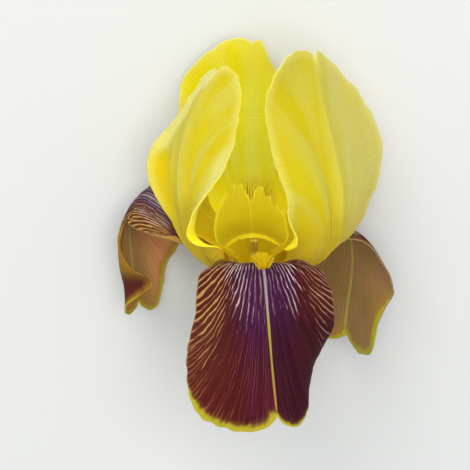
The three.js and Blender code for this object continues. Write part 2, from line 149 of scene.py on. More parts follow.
lamp("sky_lamp", (-0.35, 0.8, 0.95), size=0.8, watts=5.6, colour=(1.0, 0.985, 0.95))
lamp("front_lamp", (0.1, 0.2, 1.15), size=0.6, watts=6.8, colour=(0.99, 0.99, 1.0))
world = bpy.data.worlds.new("pale_world")
world.use_nodes = True
world.node_tree.nodes["Background"].inputs["Color"].default_value = WORLD_COLOUR
world.node_tree.nodes["Background"].inputs["Strength"].default_value = WORLD_STRENGTH
scene.world = world

# %% [markdown]
# ## Smooth lines through a few points
# A petal is described by listed rows of numbers: places along its midrib, and points round
# its margin. A Catmull-Rom line passes through every row and stays smooth, which is how a leaf
# or petal grows: no kinks, and nothing between two rows that the rows don't ask for.


# %% Lines through rows
def through(rows, t):
    """A smooth line through rows of numbers, at t from 0 at the first row to 1 at the last."""
    rows = np.asarray(rows, float)
    t = np.clip(np.atleast_1d(np.asarray(t, float)), 0, 1)
    padded = np.vstack([2 * rows[0] - rows[1], rows, 2 * rows[-1] - rows[-2]])
    place = t * (len(rows) - 1)
    step = np.minimum(place.astype(int), len(rows) - 2)
    w = (place - step)[:, None]
    a, b, c, d = (padded[step + k] for k in range(4))
    pull = (2 * a - 5 * b + 4 * c - d) * w**2
    bend = (3 * b - a - 3 * c + d) * w**3
    return 0.5 * (2 * b + (c - a) * w + pull + bend)


def measured(rows):
    """The line's length, and a function from a share of that length to t."""
    t = np.linspace(0, 1, 201)
    steps = np.linalg.norm(np.diff(through(rows, t), axis=0), axis=1)
    run = np.concatenate([[0], np.cumsum(steps)])
    return run[-1], lambda share: np.interp(np.asarray(share) * run[-1], run, t)


def smoothly(x, low, high):
    """0 below low, 1 above high, and a soft step between."""
    x = np.clip((np.asarray(x, float) - low) / (high - low), 0, 1)
    return x * x * (3 - 2 * x)


print("half way through three points:", through([[0, 0], [1, 2], [4, 4]], 0.5))

# %% [markdown]
# ## From a flat petal to a bent one
# First the petal lies flat: veins leave the root side by side, run up the claw and fan out over
# the blade, and vein number v ends at its own point of the margin. Then the flat petal is bent:
# its midrib follows the line through the stations, the sheet twists about it, each half curls at
# its own rate, and a margin may roll up. What would pass through the table is pressed flat on it.
# These are the formulas that the solids were made with, so the pieces fit the frame.

# %% The petal formulas
PRESS_ROUND = 2.5  # how gently a petal bends where it meets the table
NO_ROLL = (0, 16, 0, 16)  # degrees for each millimetre, and where the roll starts, left and right
CURL_STEPS = 16  # straight steps from the midrib to a point of the curled sheet
FAN_MIDDLE, FAN_EDGE = 0.45, 0.93  # share of its spread that a vein has two thirds of the way


def rows_of(petal):
    """The stations as an array: out, side, up, twist, the bend of each half, then its roll."""
    return np.array([(*row, *NO_ROLL[len(row) - 6 :]) for row in petal["stations"]], float)


def on_vein(petal, u, v):
    """The flat place of vein v, from -1 to 1, at u from the root, 0, to the margin, 1."""
    side = np.abs(v)
    end = np.zeros((len(v), 2))
    for half, chosen in (("left", v < 0), ("right", v >= 0)):
        edge = np.array(petal[half]) * (1, petal["blade"])
        share = measured(edge)[1](1 - side[chosen])
        end[chosen] = through(edge, share)
    reach = end[:, 1] / petal["blade"]
    spread = FAN_MIDDLE + (FAN_EDGE - FAN_MIDDLE) * side**6
    level = 0.8 + petal.get("fan", 0) * smoothly(side, 0.1, 0.6) * (1 - side**6)
    x = [side * petal["root"], side * petal["claw"] * 0.75, end[:, 0] * spread, end[:, 0]]
    s = [0, 0.42 * reach, level * reach, reach]

    def along(p):
        near = p[0] * (1 - u) ** 3 + 3 * p[1] * u * (1 - u) ** 2
        return near + 3 * p[2] * u * u * (1 - u) + p[3] * u**3

    return np.sign(v) * along(x), along(s)


def on_sheet(petal, x, s):
    """A flat place, bent: the point, and the direction that the petal's inner face looks."""
    rows = rows_of(petal)
    rib = rows[:, :3]
    length, t_at = measured(rib)
    t = t_at(np.clip(s, 0, 1))
    near, far = through(rib, t - 0.0001), through(rib, t + 0.0001)
    line = far - near
    line /= np.linalg.norm(line, axis=1)[:, None]
    middle = through(rib, t) + line * (np.maximum(s - 1, 0) * length)[:, None]
    twist, left, right_bend, left_roll, left_from, right_roll, right_from = through(rows[:, 3:], t).T
    across = np.array([0.0, 1.0, 0.0]) - line * line[:, 1:2]
    across /= np.linalg.norm(across, axis=1)[:, None]
    twist = np.radians(twist)[:, None]
    across = across * np.cos(twist) + np.cross(line, across) * np.sin(twist)
    face = np.cross(line, across)
    even = np.where(x < 0, left, right_bend)
    roll = np.where(x < 0, left_roll, right_roll)
    start = np.where(x < 0, left_from, right_from)
    wide = np.zeros_like(x)
    lift = np.zeros_like(x)
    for k in range(CURL_STEPS):
        d = (k + 0.5) / CURL_STEPS * np.abs(x)
        angle = np.radians(even * d + roll * np.maximum(0, d - start))
        wide += np.cos(angle) * np.abs(x) / CURL_STEPS
        lift += np.sin(angle) * np.abs(x) / CURL_STEPS
    hand = np.where(x < 0, -1.0, 1.0)
    point = middle + across * (hand * wide)[:, None] + face * lift[:, None]
    normal = face * np.cos(angle)[:, None] - across * (hand * np.sin(angle))[:, None]
    return point, normal


def turned(points, degrees):
    """Turned round the flower's axis."""
    c, s = math.cos(math.radians(degrees)), math.sin(math.radians(degrees))
    return points @ np.array([[c, s, 0], [-s, c, 0], [0, 0, 1]])


def pressed(points, thickness):
    """What would pass through the table is bent along it."""
    limit = LYING_DEPTH - thickness / 2
    over = points[:, 1] - (limit - PRESS_ROUND)
    y = np.where(over > 0, points[:, 1] - over**2 / (4 * PRESS_ROUND), points[:, 1])
    points[:, 1] = np.where(over > 2 * PRESS_ROUND, limit, y)
    return points


print("a place to the right, turned to the front:", turned(np.array([[1.0, 0, 0]]), -90).round(3))


# %% [markdown]
# ## The edge, the frills and the relief
# A real petal is never as clean as its formula. Its margin is a little ragged, because some veins
# end sooner than others. It frills, because the margin grows faster than the middle. And its
# veins stand proud as fine pleats. Sums of a few sine waves with fixed random phases make each of
# these, so every petal differs and every run gives the same flower.


# %% Ragged edges, frills and pleats
def waves(v, seed, lowest, highest, count=5):
    """A wavering value between about -1 and 1 along v, the same for the same seed."""
    chance = np.random.default_rng(seed)
    speeds = np.linspace(lowest, highest, count) * chance.uniform(0.85, 1.15, count)
    phases = chance.uniform(0, 2 * math.pi, count)
    return sum(np.sin(v * speed + phase) for speed, phase in zip(speeds, phases)) / math.sqrt(count)


def petal_surface(petal, u, v, thickness):
    """The petal's middle surface, with where each point lies on the flat petal."""
    seed = petal["seed"]
    short = petal["ragged"] * (0.5 + 0.5 * waves(v, seed, 40, 150)) * smoothly(u, 0.5, 1)
    tooth, speed, inner = petal.get("teeth", (0, 1, 1))
    bite = np.abs(np.sin(speed * v + 0.7)) * (0.6 + 0.4 * waves(v, seed + 2, 9, 30))
    short = short + tooth * bite * (1 - smoothly(np.abs(v), inner, inner + 0.15)) * smoothly(u, 0.6, 1)
    x, s = on_vein(petal, u * (1 - short), v)
    point, normal = on_sheet(petal, x, s)
    height, count, phase = petal["ruffle"]
    lift = height * u**5 * np.sin(count * math.pi * v + phase)
    lift += petal["frill"] * u**7 * waves(v, seed + 1, 24, 60)
    lift += petal["pleats"] * smoothly(u, 0.1, 0.4) * np.cos(2 * math.pi * petal["veins"] * np.abs(v))
    for at, width, depth, start, stop in petal.get("folds", []):
        reach = smoothly(u, start, start + 0.2) * (1 - smoothly(u, stop - 0.2, stop))
        lift += depth * reach * np.exp(-(((v - at) / width) ** 2))
    point = point + normal * lift[:, None]
    return pressed(turned(point, petal["turn"]), thickness), x, s


def vein_gap(petal, u, v):
    """How many millimetres of the flat petal one whole step of v takes."""
    length = measured(rows_of(petal)[:, :3])[0]
    low, high = np.clip(v - 0.002, -1, 1), np.clip(v + 0.002, -1, 1)
    start, stop = (np.stack(on_vein(petal, u, w), axis=1) * (1, length) for w in (low, high))
    return np.linalg.norm(stop - start, axis=1) / (high - low)


def to_margin(petal, x, s):
    """Each flat place's distance from the blade's margin, in millimetres."""
    length = measured(rows_of(petal)[:, :3])[0]
    places = np.stack([x, s * length], axis=1)
    nearest = np.full(len(x), 1e9)
    for half, hand in (("left", -1), ("right", 1)):
        edge = np.array(petal[half]) * (1, petal["blade"])
        line = through(edge, measured(edge)[1](np.linspace(0, 1, 160)))
        line = line / (1, petal["blade"]) * (hand, length)
        for point in line:
            nearest = np.minimum(nearest, np.hypot(*(places - point).T))
    return nearest, places


print("a frill at five places:", waves(np.linspace(-1, 1, 5), 4, 24, 60).round(2))


# %% [markdown]
# ## Pieces from primitives
# Each sheet starts as a primitive grid, and its points are moved to where the formulas say. The
# Solidify modifier then gives it two faces and a rim, and puts the second material on its back.
# Round things, such as the stalk, start as the same grid, rolled up: its seam and its two ends
# are merged, so the skin is closed.

# %% Helpers that make pieces
SMOOTH_BELOW = 50  # degrees: a sharper edge stays sharp
SEAM = 1e-6  # points closer than this, in metres, are merged


def grid(name, rows, columns):
    """A primitive grid with its u and v, ready to be bent. v runs from 1 to -1 along X."""
    bpy.ops.object.select_all(action="DESELECT")
    bpy.ops.mesh.primitive_grid_add(x_subdivisions=columns, y_subdivisions=rows, size=2)
    piece = bpy.context.object
    piece.name = name
    piece.data.name = name
    flat = np.zeros(len(piece.data.vertices) * 3, np.float32)
    piece.data.vertices.foreach_get("co", flat)
    flat = flat.reshape(-1, 3).astype(float)
    return piece, (flat[:, 1] + 1) / 2, -flat[:, 0]


def move_points(piece, points):
    piece.data.vertices.foreach_set("co", np.asarray(points, np.float32).ravel())
    piece.data.update()


def keep(piece, name, *columns):
    """Keeps up to three numbers for each point, for the finishes to read."""
    made = piece.data.attributes.new(name, "FLOAT_VECTOR", "POINT")
    values = np.zeros((len(piece.data.vertices), 3), np.float32)
    for k, column in enumerate(columns):
        values[:, k] = column
    made.data.foreach_set("vector", values.ravel())


def solidify(piece, thickness):
    """Two faces and a rim, the back with the next material."""
    modifier = piece.modifiers.new("thickness", "SOLIDIFY")
    modifier.thickness = thickness * MM
    modifier.offset = 0
    modifier.material_offset = 1
    bpy.context.view_layer.objects.active = piece
    bpy.ops.object.modifier_apply(modifier=modifier.name)
    bpy.ops.object.shade_smooth_by_angle(angle=math.radians(SMOOTH_BELOW))


def close_up(merge=True, smooth_below=SMOOTH_BELOW):
    """Closes the active piece's seams, turns its faces outwards and smooths it."""
    bpy.ops.object.mode_set(mode="EDIT")
    bpy.ops.mesh.select_all(action="SELECT")
    if merge:
        bpy.ops.mesh.remove_doubles(threshold=SEAM)
    bpy.ops.mesh.normals_make_consistent(inside=False)
    bpy.ops.object.mode_set(mode="OBJECT")
    bpy.ops.object.shade_smooth_by_angle(angle=math.radians(smooth_below))


def make_sheet(name, petal, cells, thickness, inner, outer):
    """A petal as a closed sheet with a finish on each face."""
    piece, u, v = grid(name, *cells)
    points, x, s = petal_surface(petal, u, v, thickness)
    margin, places = to_margin(petal, x, s)
    move_points(piece, laid_down(points))
    keep(piece, "vein_place", v, u, margin)
    keep(piece, "flat_place", places[:, 0], places[:, 1], vein_gap(petal, u, v))
    piece.data.materials.append(inner)
    piece.data.materials.append(outer)
    solidify(piece, thickness)
    print(name, "faces:", len(piece.data.polygons), "spans", points.min(0).round(1), points.max(0).round(1))
    return piece


def make_skin(name, sides, rings, flesh, kept=None):
    """A closed skin through rings. rings(u, angle) gives the points, with both ends on a point.
    kept(u, v) may give numbers for the finish to read as stalk_place."""
    piece, u, v = grid(name, *sides)
    move_points(piece, laid_down(rings(u, math.pi * v)))
    if kept:
        keep(piece, "stalk_place", *kept(u, v))
    piece.data.materials.append(flesh)
    close_up()
    return piece


def join(pieces):
    """Several meshes as one piece, under the first one's name."""
    bpy.ops.object.select_all(action="DESELECT")
    for piece in pieces:
        piece.select_set(True)
    bpy.context.view_layer.objects.active = pieces[0]
    bpy.ops.object.join()
    return pieces[0]


def belongs(piece, solid):
    """The piece rides on the flower and stands for that solid of the frame."""
    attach(piece, "root")
    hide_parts(solid)


def bend_petals(kind, part, petals, slot, *sheet):
    """Makes every petal of a kind from its measures, and lets each stand for its solid."""
    for name, petal in petals.items():
        belongs(make_sheet(f"{kind}_{name}_{part}", petal, *sheet), f"{kind}_{name}")


print("edges under", SMOOTH_BELOW, "degrees are smoothed, points within", SEAM, "m are merged")


# %% [markdown]
# ## Small tools for finishes
# A finish is a tree of nodes that works out a colour and a height for each point. Written node by
# node it is long and hard to read, so the output of a node is wrapped as a field here: fields can
# be added and multiplied like numbers, and each sum adds its own Math node. Colours are linear,
# as Blender mixes them.

# %% Node helpers
BLACK = (0, 0, 0)
GLOW_SPREAD, GLOW_DEPTH = (1.0, 0.7, 0.25), 0.0016  # red light goes furthest, in metres


class Field:
    """A value that changes over a surface: one output of a node in a tree."""

    def __init__(self, tree, socket):
        self.tree = tree
        self.socket = socket

    def __add__(self, other):
        return calc("ADD", self, other)

    def __sub__(self, other):
        return calc("SUBTRACT", self, other)

    def __rsub__(self, other):
        return calc("SUBTRACT", other, self)

    def __mul__(self, other):
        return calc("MULTIPLY", self, other)

    def __truediv__(self, other):
        return calc("DIVIDE", self, other)

    def ramp(self, low, high, start=0, stop=1):
        """A soft step from start, at low, to stop, at high."""
        kind = {"interpolation_type": "SMOOTHSTEP"}
        return node(self.tree, "MapRange", self, low, high, start, stop, **kind)


def put(value, socket):
    """Links a field to a socket, or sets a number or a colour on it."""
    if isinstance(value, Field):
        value.tree.links.new(value.socket, socket)
    elif value is not None:
        socket.default_value = (*value, 1) if isinstance(value, tuple) else value


def node(tree, kind, *values, out=0, **settings):
    """Adds a node, feeds its inputs in order, and returns one of its outputs."""
    made = tree.nodes.new("ShaderNode" + kind)
    for name, value in settings.items():
        setattr(made, name, value)
    for value, socket in zip(values, made.inputs):
        put(value, socket)
    return Field(tree, made.outputs[out])


def tree_of(values):
    return next(value.tree for value in values if isinstance(value, Field))


def calc(operation, *values):
    return node(tree_of(values), "Math", *values, operation=operation)


def tint(amount, under, over):
    """One colour over another by an amount."""
    made = tree_of((amount, under, over)).nodes.new("ShaderNodeMix")
    made.data_type = "RGBA"
    put(amount, made.inputs[0])
    put(under, made.inputs[6])
    put(over, made.inputs[7])
    return Field(made.id_data, made.outputs[2])


def parts_of(tree, name):
    """The three numbers that a piece keeps for its points."""
    place = node(tree, "Attribute", out=1, attribute_name=name)
    split = tree.nodes.new("ShaderNodeSeparateXYZ")
    put(place, split.inputs[0])
    return [Field(tree, part) for part in split.outputs]


def petal_places(tree):
    """Vein, share of its length, distance to the margin; place across, down, and gap of veins."""
    return *parts_of(tree, "vein_place"), *parts_of(tree, "flat_place")


def object_place(tree):
    return node(tree, "TexCoord", out=3)


def cloudy(place, scale, detail=3):
    return node(place.tree, "TexNoise", place, None, scale, detail)


def clouds(x, y, detail=3):
    """Cloudy noise over two fields, which say how fast it changes each way."""
    return cloudy(node(x.tree, "CombineXYZ", x, y), 1, detail)


def on_the_left(tree, middle=-0.002):
    """1 on petals that lie to the left of the flower's axis, and 0 on those to the right."""
    place = tree.nodes.new("ShaderNodeSeparateXYZ")
    put(object_place(tree), place.inputs[0])
    return Field(tree, place.outputs[0]).ramp(middle - 0.003, middle + 0.003, 1, 0)


def finish(name, roughness, glow, sheen=0.0, shine=0.12):
    """A new material for soft plant flesh, with its tree and its shader."""
    made = bpy.data.materials.new(name)
    made.use_nodes = True
    shader = made.node_tree.nodes["Principled BSDF"]
    shader.inputs["Roughness"].default_value = roughness
    shader.inputs["Specular IOR Level"].default_value = shine
    shader.inputs["Subsurface Weight"].default_value = glow
    shader.inputs["Subsurface Radius"].default_value = GLOW_SPREAD
    shader.inputs["Subsurface Scale"].default_value = GLOW_DEPTH
    shader.inputs["Sheen Weight"].default_value = sheen
    return made, made.node_tree, shader


def passed_on(shader, colour, amount):
    """Light that petals pass on to each other, as a faint glow of their own colour."""
    shader.inputs["Emission Strength"].default_value = 1.0
    put(tint(amount, BLACK, colour), shader.inputs["Emission Color"])


def cover(shader, colour, height, strength, depth):
    """Feeds a colour, and a height in millimetres through one Bump node, to the shader."""
    put(colour, shader.inputs["Base Color"])
    bump = height.tree.nodes.new("ShaderNodeBump")
    put(strength, bump.inputs["Strength"])
    put(depth * MM, bump.inputs["Distance"])
    put(height, bump.inputs["Height"])
    put(Field(height.tree, bump.outputs["Normal"]), shader.inputs["Normal"])


print("tools for finishes are ready; light goes", GLOW_DEPTH, "m into a petal")

# %% [markdown]
# ## Groups
# An effect that more than one finish shows is a node group: it is built once, with named inputs
# and outputs, and each finish places it with values of its own.


# %% Making and placing a group
def new_group(name, inputs, outputs):
    """A group with named sockets. Returns its tree, its inputs as fields, and its result's sockets."""
    tree = bpy.data.node_groups.new(name, "ShaderNodeTree")
    for side, sockets in (("INPUT", inputs), ("OUTPUT", outputs)):
        for title, value in sockets.items():
            kind = "NodeSocketColor" if isinstance(value, tuple) else "NodeSocketFloat"
            put(value, tree.interface.new_socket(title, in_out=side, socket_type=kind))
    given = tree.nodes.new("NodeGroupInput").outputs
    result = tree.nodes.new("NodeGroupOutput").inputs
    return tree, [Field(tree, given[title]) for title in inputs], result


def place_group(group, *values):
    """Places a group where its values come from, and returns its outputs."""
    tree = tree_of(values)
    made = tree.nodes.new("ShaderNodeGroup")
    made.node_tree = group
    for value, socket in zip(values, made.inputs):
        put(value, socket)
    return [Field(tree, socket) for socket in made.outputs]


print("groups so far:", len(bpy.data.node_groups))

# %% [markdown]
# ## Veins as a group
# Both the maroon falls and the yellow standards are combed with veins, only in other colours and
# numbers, so the pattern is built once. The group takes the vein number v and how far apart the
# veins have spread. Where they would lie too far apart each one forks in two, as real veins do.
# It gives two masks: how far a point is from its nearest vein, and a value that wanders from vein
# to vein.


# %% The vein group
def vein_group():
    inputs = {"Vein": 0, "Gap": 20, "Down": 0, "Spacing": 1.5, "Waver": 0.3}
    tree, given, result = new_group("petal_veins", inputs, {"Between": 0, "Chance": 0})
    vein, gap, down, spacing, waver = given
    crowd = calc("MAXIMUM", gap / spacing, 1)
    level = calc("LOGARITHM", crowd, 2)
    whole = calc("FLOOR", level)
    push = (clouds(vein * (crowd * 0.3), down * 0.14, 2) - 0.5) * waver

    def comb(finer):
        turns = vein * calc("POWER", 2, whole + finer) + push * 2
        return calc("COSINE", turns * (2 * math.pi)) * -0.5 + 0.5

    between = node(tree, "Mix", (level - whole).ramp(0, 1), None, comb(0), comb(1))
    put(between, result["Between"])
    put(clouds(vein * 46, down * 0.025, 1).ramp(0.32, 0.68), result["Chance"])
    return tree


PETAL_VEINS = vein_group()


def veins(v, down, gap, spacing, waver=0.3):
    """How far a point is from its nearest vein, and a chance value of that vein."""
    return place_group(PETAL_VEINS, v, gap, down, spacing, waver)


print("vein group:", len(PETAL_VEINS.nodes), "nodes")

# %% [markdown]
# ## The margin of a fall as a group
# A yellow margin goes round both faces of a fall. On the shoulders it is a thin tan line, and down
# the petal it turns into a broad frayed yellow one, brown just inside. The right half turns later
# than the left and stays narrower.

# %% The margin group
MARGIN_YELLOW = (0.46, 0.39, 0.025)
MARGIN_TAN = (0.40, 0.26, 0.10)
FRAYED_BROWN = (0.26, 0.11, 0.018)
LATER_ON_THE_RIGHT = 12  # millimetres


def margin_group():
    inputs = {"Petal": BLACK, "Margin": 0, "Down": 0, "Vein": 0}
    inputs |= {"Thin": 0.3, "Broad": 2.4, "Start": 66, "Stop": 80}
    tree, given, result = new_group("fall_margin", inputs, {"Colour": BLACK})
    top, margin, down, v, thin, broad, start, stop = given
    later = down - v.ramp(-0.05, 0.05, 0, LATER_ON_THE_RIGHT)
    width = later.ramp(start, stop, thin, broad) * v.ramp(-0.3, 0.1, 1, 0.75)
    inside = margin - width * (clouds(v * 60, down * 0.3) * 1.5 + 0.25)
    beside = later.ramp(start, stop, 0, 0.45) * inside.ramp(0, 2.4, 1, 0)
    colour = tint(later.ramp(start - 6, start + 6), MARGIN_TAN, MARGIN_YELLOW)
    mask = (inside / later.ramp(start, stop, 0.4, 1.1)).ramp(-1, 1, 1, 0)
    put(tint(mask, tint(beside, top, FRAYED_BROWN), colour), result["Colour"])
    return tree


FALL_MARGIN = margin_group()


def edged(top, margin, down, v, thin, broad, start, stop):
    """A fall's colour with its margin, which goes from thin to broad between start and stop."""
    return place_group(FALL_MARGIN, top, margin, down, v, thin, broad, start, stop)[0]


print("margin group:", len(FALL_MARGIN.nodes), "nodes")

# %% [markdown]
# ## The inside of a fall
# A fall is maroon inside, violet beside the midrib near the beard. Pale streaks run between the
# veins: white where they leave the beard, tan towards the shoulders, where they last to the edge,
# while those in the middle die out half way down. A yellow margin, thin on the shoulders and
# broad at the tip, and a pale midrib that turns yellow finish it. The right half of each fall is
# darker lower down as painted shade, and the left fall gets a painted bluish sheen where it bends.
# Its curled lobe is orange and red. Ranges are in millimetres on the flat petal.

# %% Maroon finish
STREAK_NEAR_RIB, STREAK_AT_SHOULDER = 1.7, 2.9  # millimetres from one streak to the next
LEFT_FALL = -0.028  # metres: the left fall lies beyond this
STREAKS_END = (38, 54)  # how far down the streaks die out
MAROON = (0.068, 0.0055, 0.008)
DARK_MAROON = (0.046, 0.005, 0.009)
RED_MAROON = (0.086, 0.008, 0.009)
BROWN_MAROON = (0.085, 0.015, 0.007)
PAINTED_SHADE_MAROON = (0.026, 0.004, 0.012)
VIOLET = (0.046, 0.006, 0.042)
SHEEN_BLUE_VIOLET = (0.12, 0.075, 0.20)
HAFT_BROWN = (0.12, 0.033, 0.008)
LOBE_ORANGE = (0.42, 0.20, 0.012)
LOBE_RED = (0.15, 0.022, 0.014)
FRESH_WHITE = (0.66, 0.55, 0.49)
WHITE_STREAK = (0.50, 0.40, 0.37)
TAN_STREAK = (0.44, 0.25, 0.075)
ROSY_STREAK = (0.40, 0.21, 0.14)
RED_STREAK = (0.175, 0.042, 0.036)
STROKE_ORANGE = (0.31, 0.11, 0.03)
CLAW_YELLOW = (0.74, 0.52, 0.015)
CLAW_LINE = (0.16, 0.05, 0.012)
RIB_GREY = (0.33, 0.27, 0.27)
RIB_OLIVE = (0.36, 0.29, 0.035)
RIB_TAN = (0.42, 0.23, 0.05)


def maroon_finish():
    made, tree, shader = finish("fall_inside", roughness=0.62, glow=0.0, shine=0.04)
    v, _, margin, x, down, gap = petal_places(tree)
    off = calc("ABSOLUTE", x)
    right_half = x.ramp(-0.5, 0.5)
    left = on_the_left(tree, LEFT_FALL)
    near_half = left * x.ramp(2, 6)
    sheen_zone = left * x.ramp(1, 5, 1, 0)
    between, chance = veins(v, down, gap, off.ramp(3, 9, STREAK_NEAR_RIB, STREAK_AT_SHOULDER), 0.7)
    # Ground colour, with a painted sheen and painted shade
    patch = clouds(x * 0.09, down * 0.09)
    ground = tint(patch.ramp(0.38, 0.62), DARK_MAROON, MAROON)
    ground = tint(off.ramp(9, 18, 0, 0.8), ground, BROWN_MAROON)
    ground = tint(down.ramp(56, 78, 0, 0.75), ground, RED_MAROON)
    ground = tint(off.ramp(5, 12, 1, 0) * down.ramp(48, 66, 1, 0.25), ground, VIOLET)
    # Painted sheen: bluish violet where the left fall bends beside its midrib
    ground = tint(sheen_zone * down.ramp(34, 50, 0.7, 0), ground, SHEEN_BLUE_VIOLET)
    ground = tint(near_half * 0.8, ground, HAFT_BROWN)
    # Painted shade: the right half of each fall is darker lower down, where it turns away from the light
    ground = tint(right_half * down.ramp(42, 56, 0, 0.7), ground, PAINTED_SHADE_MAROON)
    # Fine lines all over
    fine, fine_chance = veins(v, down, gap, 0.9, 0.8)
    lines = fine.ramp(0.4, 1) * fine_chance.ramp(0.2, 0.9, 0.1, 0.65) * x.ramp(-0.5, 0.5, 1, 0.5)
    ground = tint(lines, ground, RED_STREAK)
    # Streaks between the veins, which last longest on the shoulders
    reach = down + (chance * 16 - 8) - off.ramp(7, 18, 0, 9)
    fade = reach.ramp(*STREAKS_END, 1, 0)
    width = (fade * 0.12 + (chance * 0.16 + 0.04)) * off.ramp(9, 15, 0.9, 0.6)
    width = width * x.ramp(-0.5, 0.5, 1, 0.8) + down.ramp(26, 36, 0.1, 0)
    width = width + near_half * 0.22 + sheen_zone * 0.08
    broken = clouds(v * 70, down * 0.25, 2)
    streak = (between + width - 1).ramp(-0.1, 0.06) * fade.ramp(0, 0.5)
    streak = streak * (broken - off.ramp(6, 10, 0.5, 0.4)).ramp(-0.06, 0.08, 0.25, 1)
    streak = streak * calc("MAXIMUM", off.ramp(3, 8, 0.4, 1), sheen_zone)
    shoulder = tint(near_half, tint(right_half, TAN_STREAK, ROSY_STREAK), TAN_STREAK)
    tanned = calc("MAXIMUM", off.ramp(9, 15), margin.ramp(3, 8, 1, 0))
    colour = tint(tanned, tint(down.ramp(30, 40), FRESH_WHITE, WHITE_STREAK), shoulder)
    colour = tint(reach.ramp(*STREAKS_END, 0, 0.6), colour, RED_STREAK)
    top = tint(streak, ground, colour)
    # Short strokes that run in from the margin
    short, short_chance = veins(v, down, gap, 1.6, 0.5)
    stroke = short.ramp(0.7, 0.95) * (margin - short_chance * 5).ramp(-1, 6, 1, 0)
    stroke = stroke * broken.ramp(0.3, 0.6, 0.1, 0.8) * down.ramp(48, 58) * x.ramp(-15, -9, 1, 0.15)
    top = tint(stroke, top, STROKE_ORANGE)
    # The left fall's curled lobe
    lobe = down.ramp(50, 60) * down.ramp(68, 78, 0.85, 0) * (broken * 4 + x).ramp(2, 10)
    top = tint(left * lobe, top, LOBE_ORANGE)
    red = near_half * down.ramp(72, 80, 0, 0.4)
    warm_edge = red * margin.ramp(0.5, 3.5, 1.8, 0) * broken.ramp(0.3, 0.6, 0.5, 1)
    top = tint(warm_edge, tint(red, top, LOBE_RED), LOBE_ORANGE)
    # Yellow claw with brown veins
    lined = between.ramp(0.15, 0.6, 1, 0) * down.ramp(12, 22, 0.1, 0.95)
    claw = (down - off.ramp(4, 9, 3, 0)).ramp(13, 20, 1, 0)
    top = tint(claw, top, tint(lined, CLAW_YELLOW, CLAW_LINE))
    # Midrib and margin
    rib_width = patch * 0.3 + down.ramp(36, 70, 0.34, 0.18)
    midrib = (off - rib_width).ramp(-0.22, 0.12, 1, 0) * down.ramp(77, 84, 1, 0) * down.ramp(28, 33)
    rib_colour = tint(down.ramp(42, 54), RIB_GREY, RIB_OLIVE)
    top = tint(midrib, top, tint(down.ramp(60, 74), rib_colour, RIB_TAN))
    top = edged(top, margin, down, v, thin=0.3, broad=2.4, start=66, stop=80)
    cover(shader, top, between * 0.8 + clouds(x * 3, down * 3, 2) * 0.35, 0.6, 0.12)
    return made


FALL_INSIDE = maroon_finish()
print("finish:", FALL_INSIDE.name, len(FALL_INSIDE.node_tree.nodes), "nodes")

# %% [markdown]
# ## The back of a fall
# From behind the maroon shows only as a rosy brown through buff flesh. The back is finely lined,
# its midrib is yellow-green, and the yellow margin goes round it too, with orange just inside it
# where the petal is thin.

# %% Buff finish
BUFF = (0.36, 0.22, 0.07)
ROSY = (0.40, 0.19, 0.08)
PINK_BUFF = (0.78, 0.36, 0.145)
OLIVE_BUFF = (0.27, 0.175, 0.035)
CLAW_BUFF = (0.46, 0.42, 0.10)
LINE_BROWN = (0.13, 0.07, 0.02)
RIB_GREEN = (0.40, 0.33, 0.07)
ORANGE = (0.50, 0.24, 0.03)


def buff_finish():
    made, tree, shader = finish("fall_outside", roughness=0.6, glow=0.05, sheen=0.05)
    v, _, margin, x, down, gap = petal_places(tree)
    left = on_the_left(tree)
    between, chance = veins(v, down, gap, 1.6, 0.4)
    patch = clouds(x * 0.07, down * 0.07)
    ground = tint(0.5, tint(patch.ramp(0.36, 0.64), OLIVE_BUFF, ROSY), BUFF)
    ground = tint(left * x.ramp(-14, -3, 0.95, 0.1), ground, PINK_BUFF)
    ground = tint(between.ramp(0, 0.8, 1, 0) * 0.22, ground, LINE_BROWN)
    ground = tint(chance * 0.16, ground, ROSY)
    ground = tint(margin.ramp(1.5, 6, 1, 0) * x.ramp(-2, 2, 0.3, 0.75), ground, ORANGE)
    ground = tint(down.ramp(12, 24, 0.85, 0), ground, CLAW_BUFF)
    rib = calc("ABSOLUTE", x).ramp(0.4, 1, 1, 0)
    ground = tint(rib, ground, RIB_GREEN)
    ground = edged(ground, margin, down, v, thin=0.6, broad=left * -1.1 + 2.6, start=54, stop=72)
    cover(shader, ground, between * 0.7 + rib * -1.5, 0.6, 0.12)
    return made


FALL_OUTSIDE = buff_finish()
print("finish:", FALL_OUTSIDE.name)

# %% [markdown]
# ## Yellow standards
# The standards are a clear lemon yellow. Fine veins a shade greener comb the blade, brown-green
# dashes mark the claw, and the margins get a painted creamy highlight, broadest on the rolled
# margin of the left one. The two faces differ little, so one recipe is used with other amounts:
# the outside is paler, with a painted creamy sheen towards the right, and darker all over as
# painted shade. In daylight petals pass yellow light on to each other, so the throat of a real
# bloom glows. A renderer loses most of that light in a few bounces, so the inside gets it back as
# a faint emission.

# %% Yellow finish
LEMON = (0.86, 0.735, 0.010)
PALE_LEMON = (0.86, 0.79, 0.12)
SHEEN_CREAM = (0.86, 0.82, 0.32)
ROLL_HIGHLIGHT_CREAM = (0.80, 0.74, 0.25)
GOLD = (0.86, 0.62, 0.001)
WING_GOLD = (0.74, 0.57, 0.001)
THROAT_LIGHT = (0.95, 0.80, 0.004)
VEIN_GREEN = (0.60, 0.55, 0.02)
CLAW_BROWN = (0.17, 0.11, 0.02)


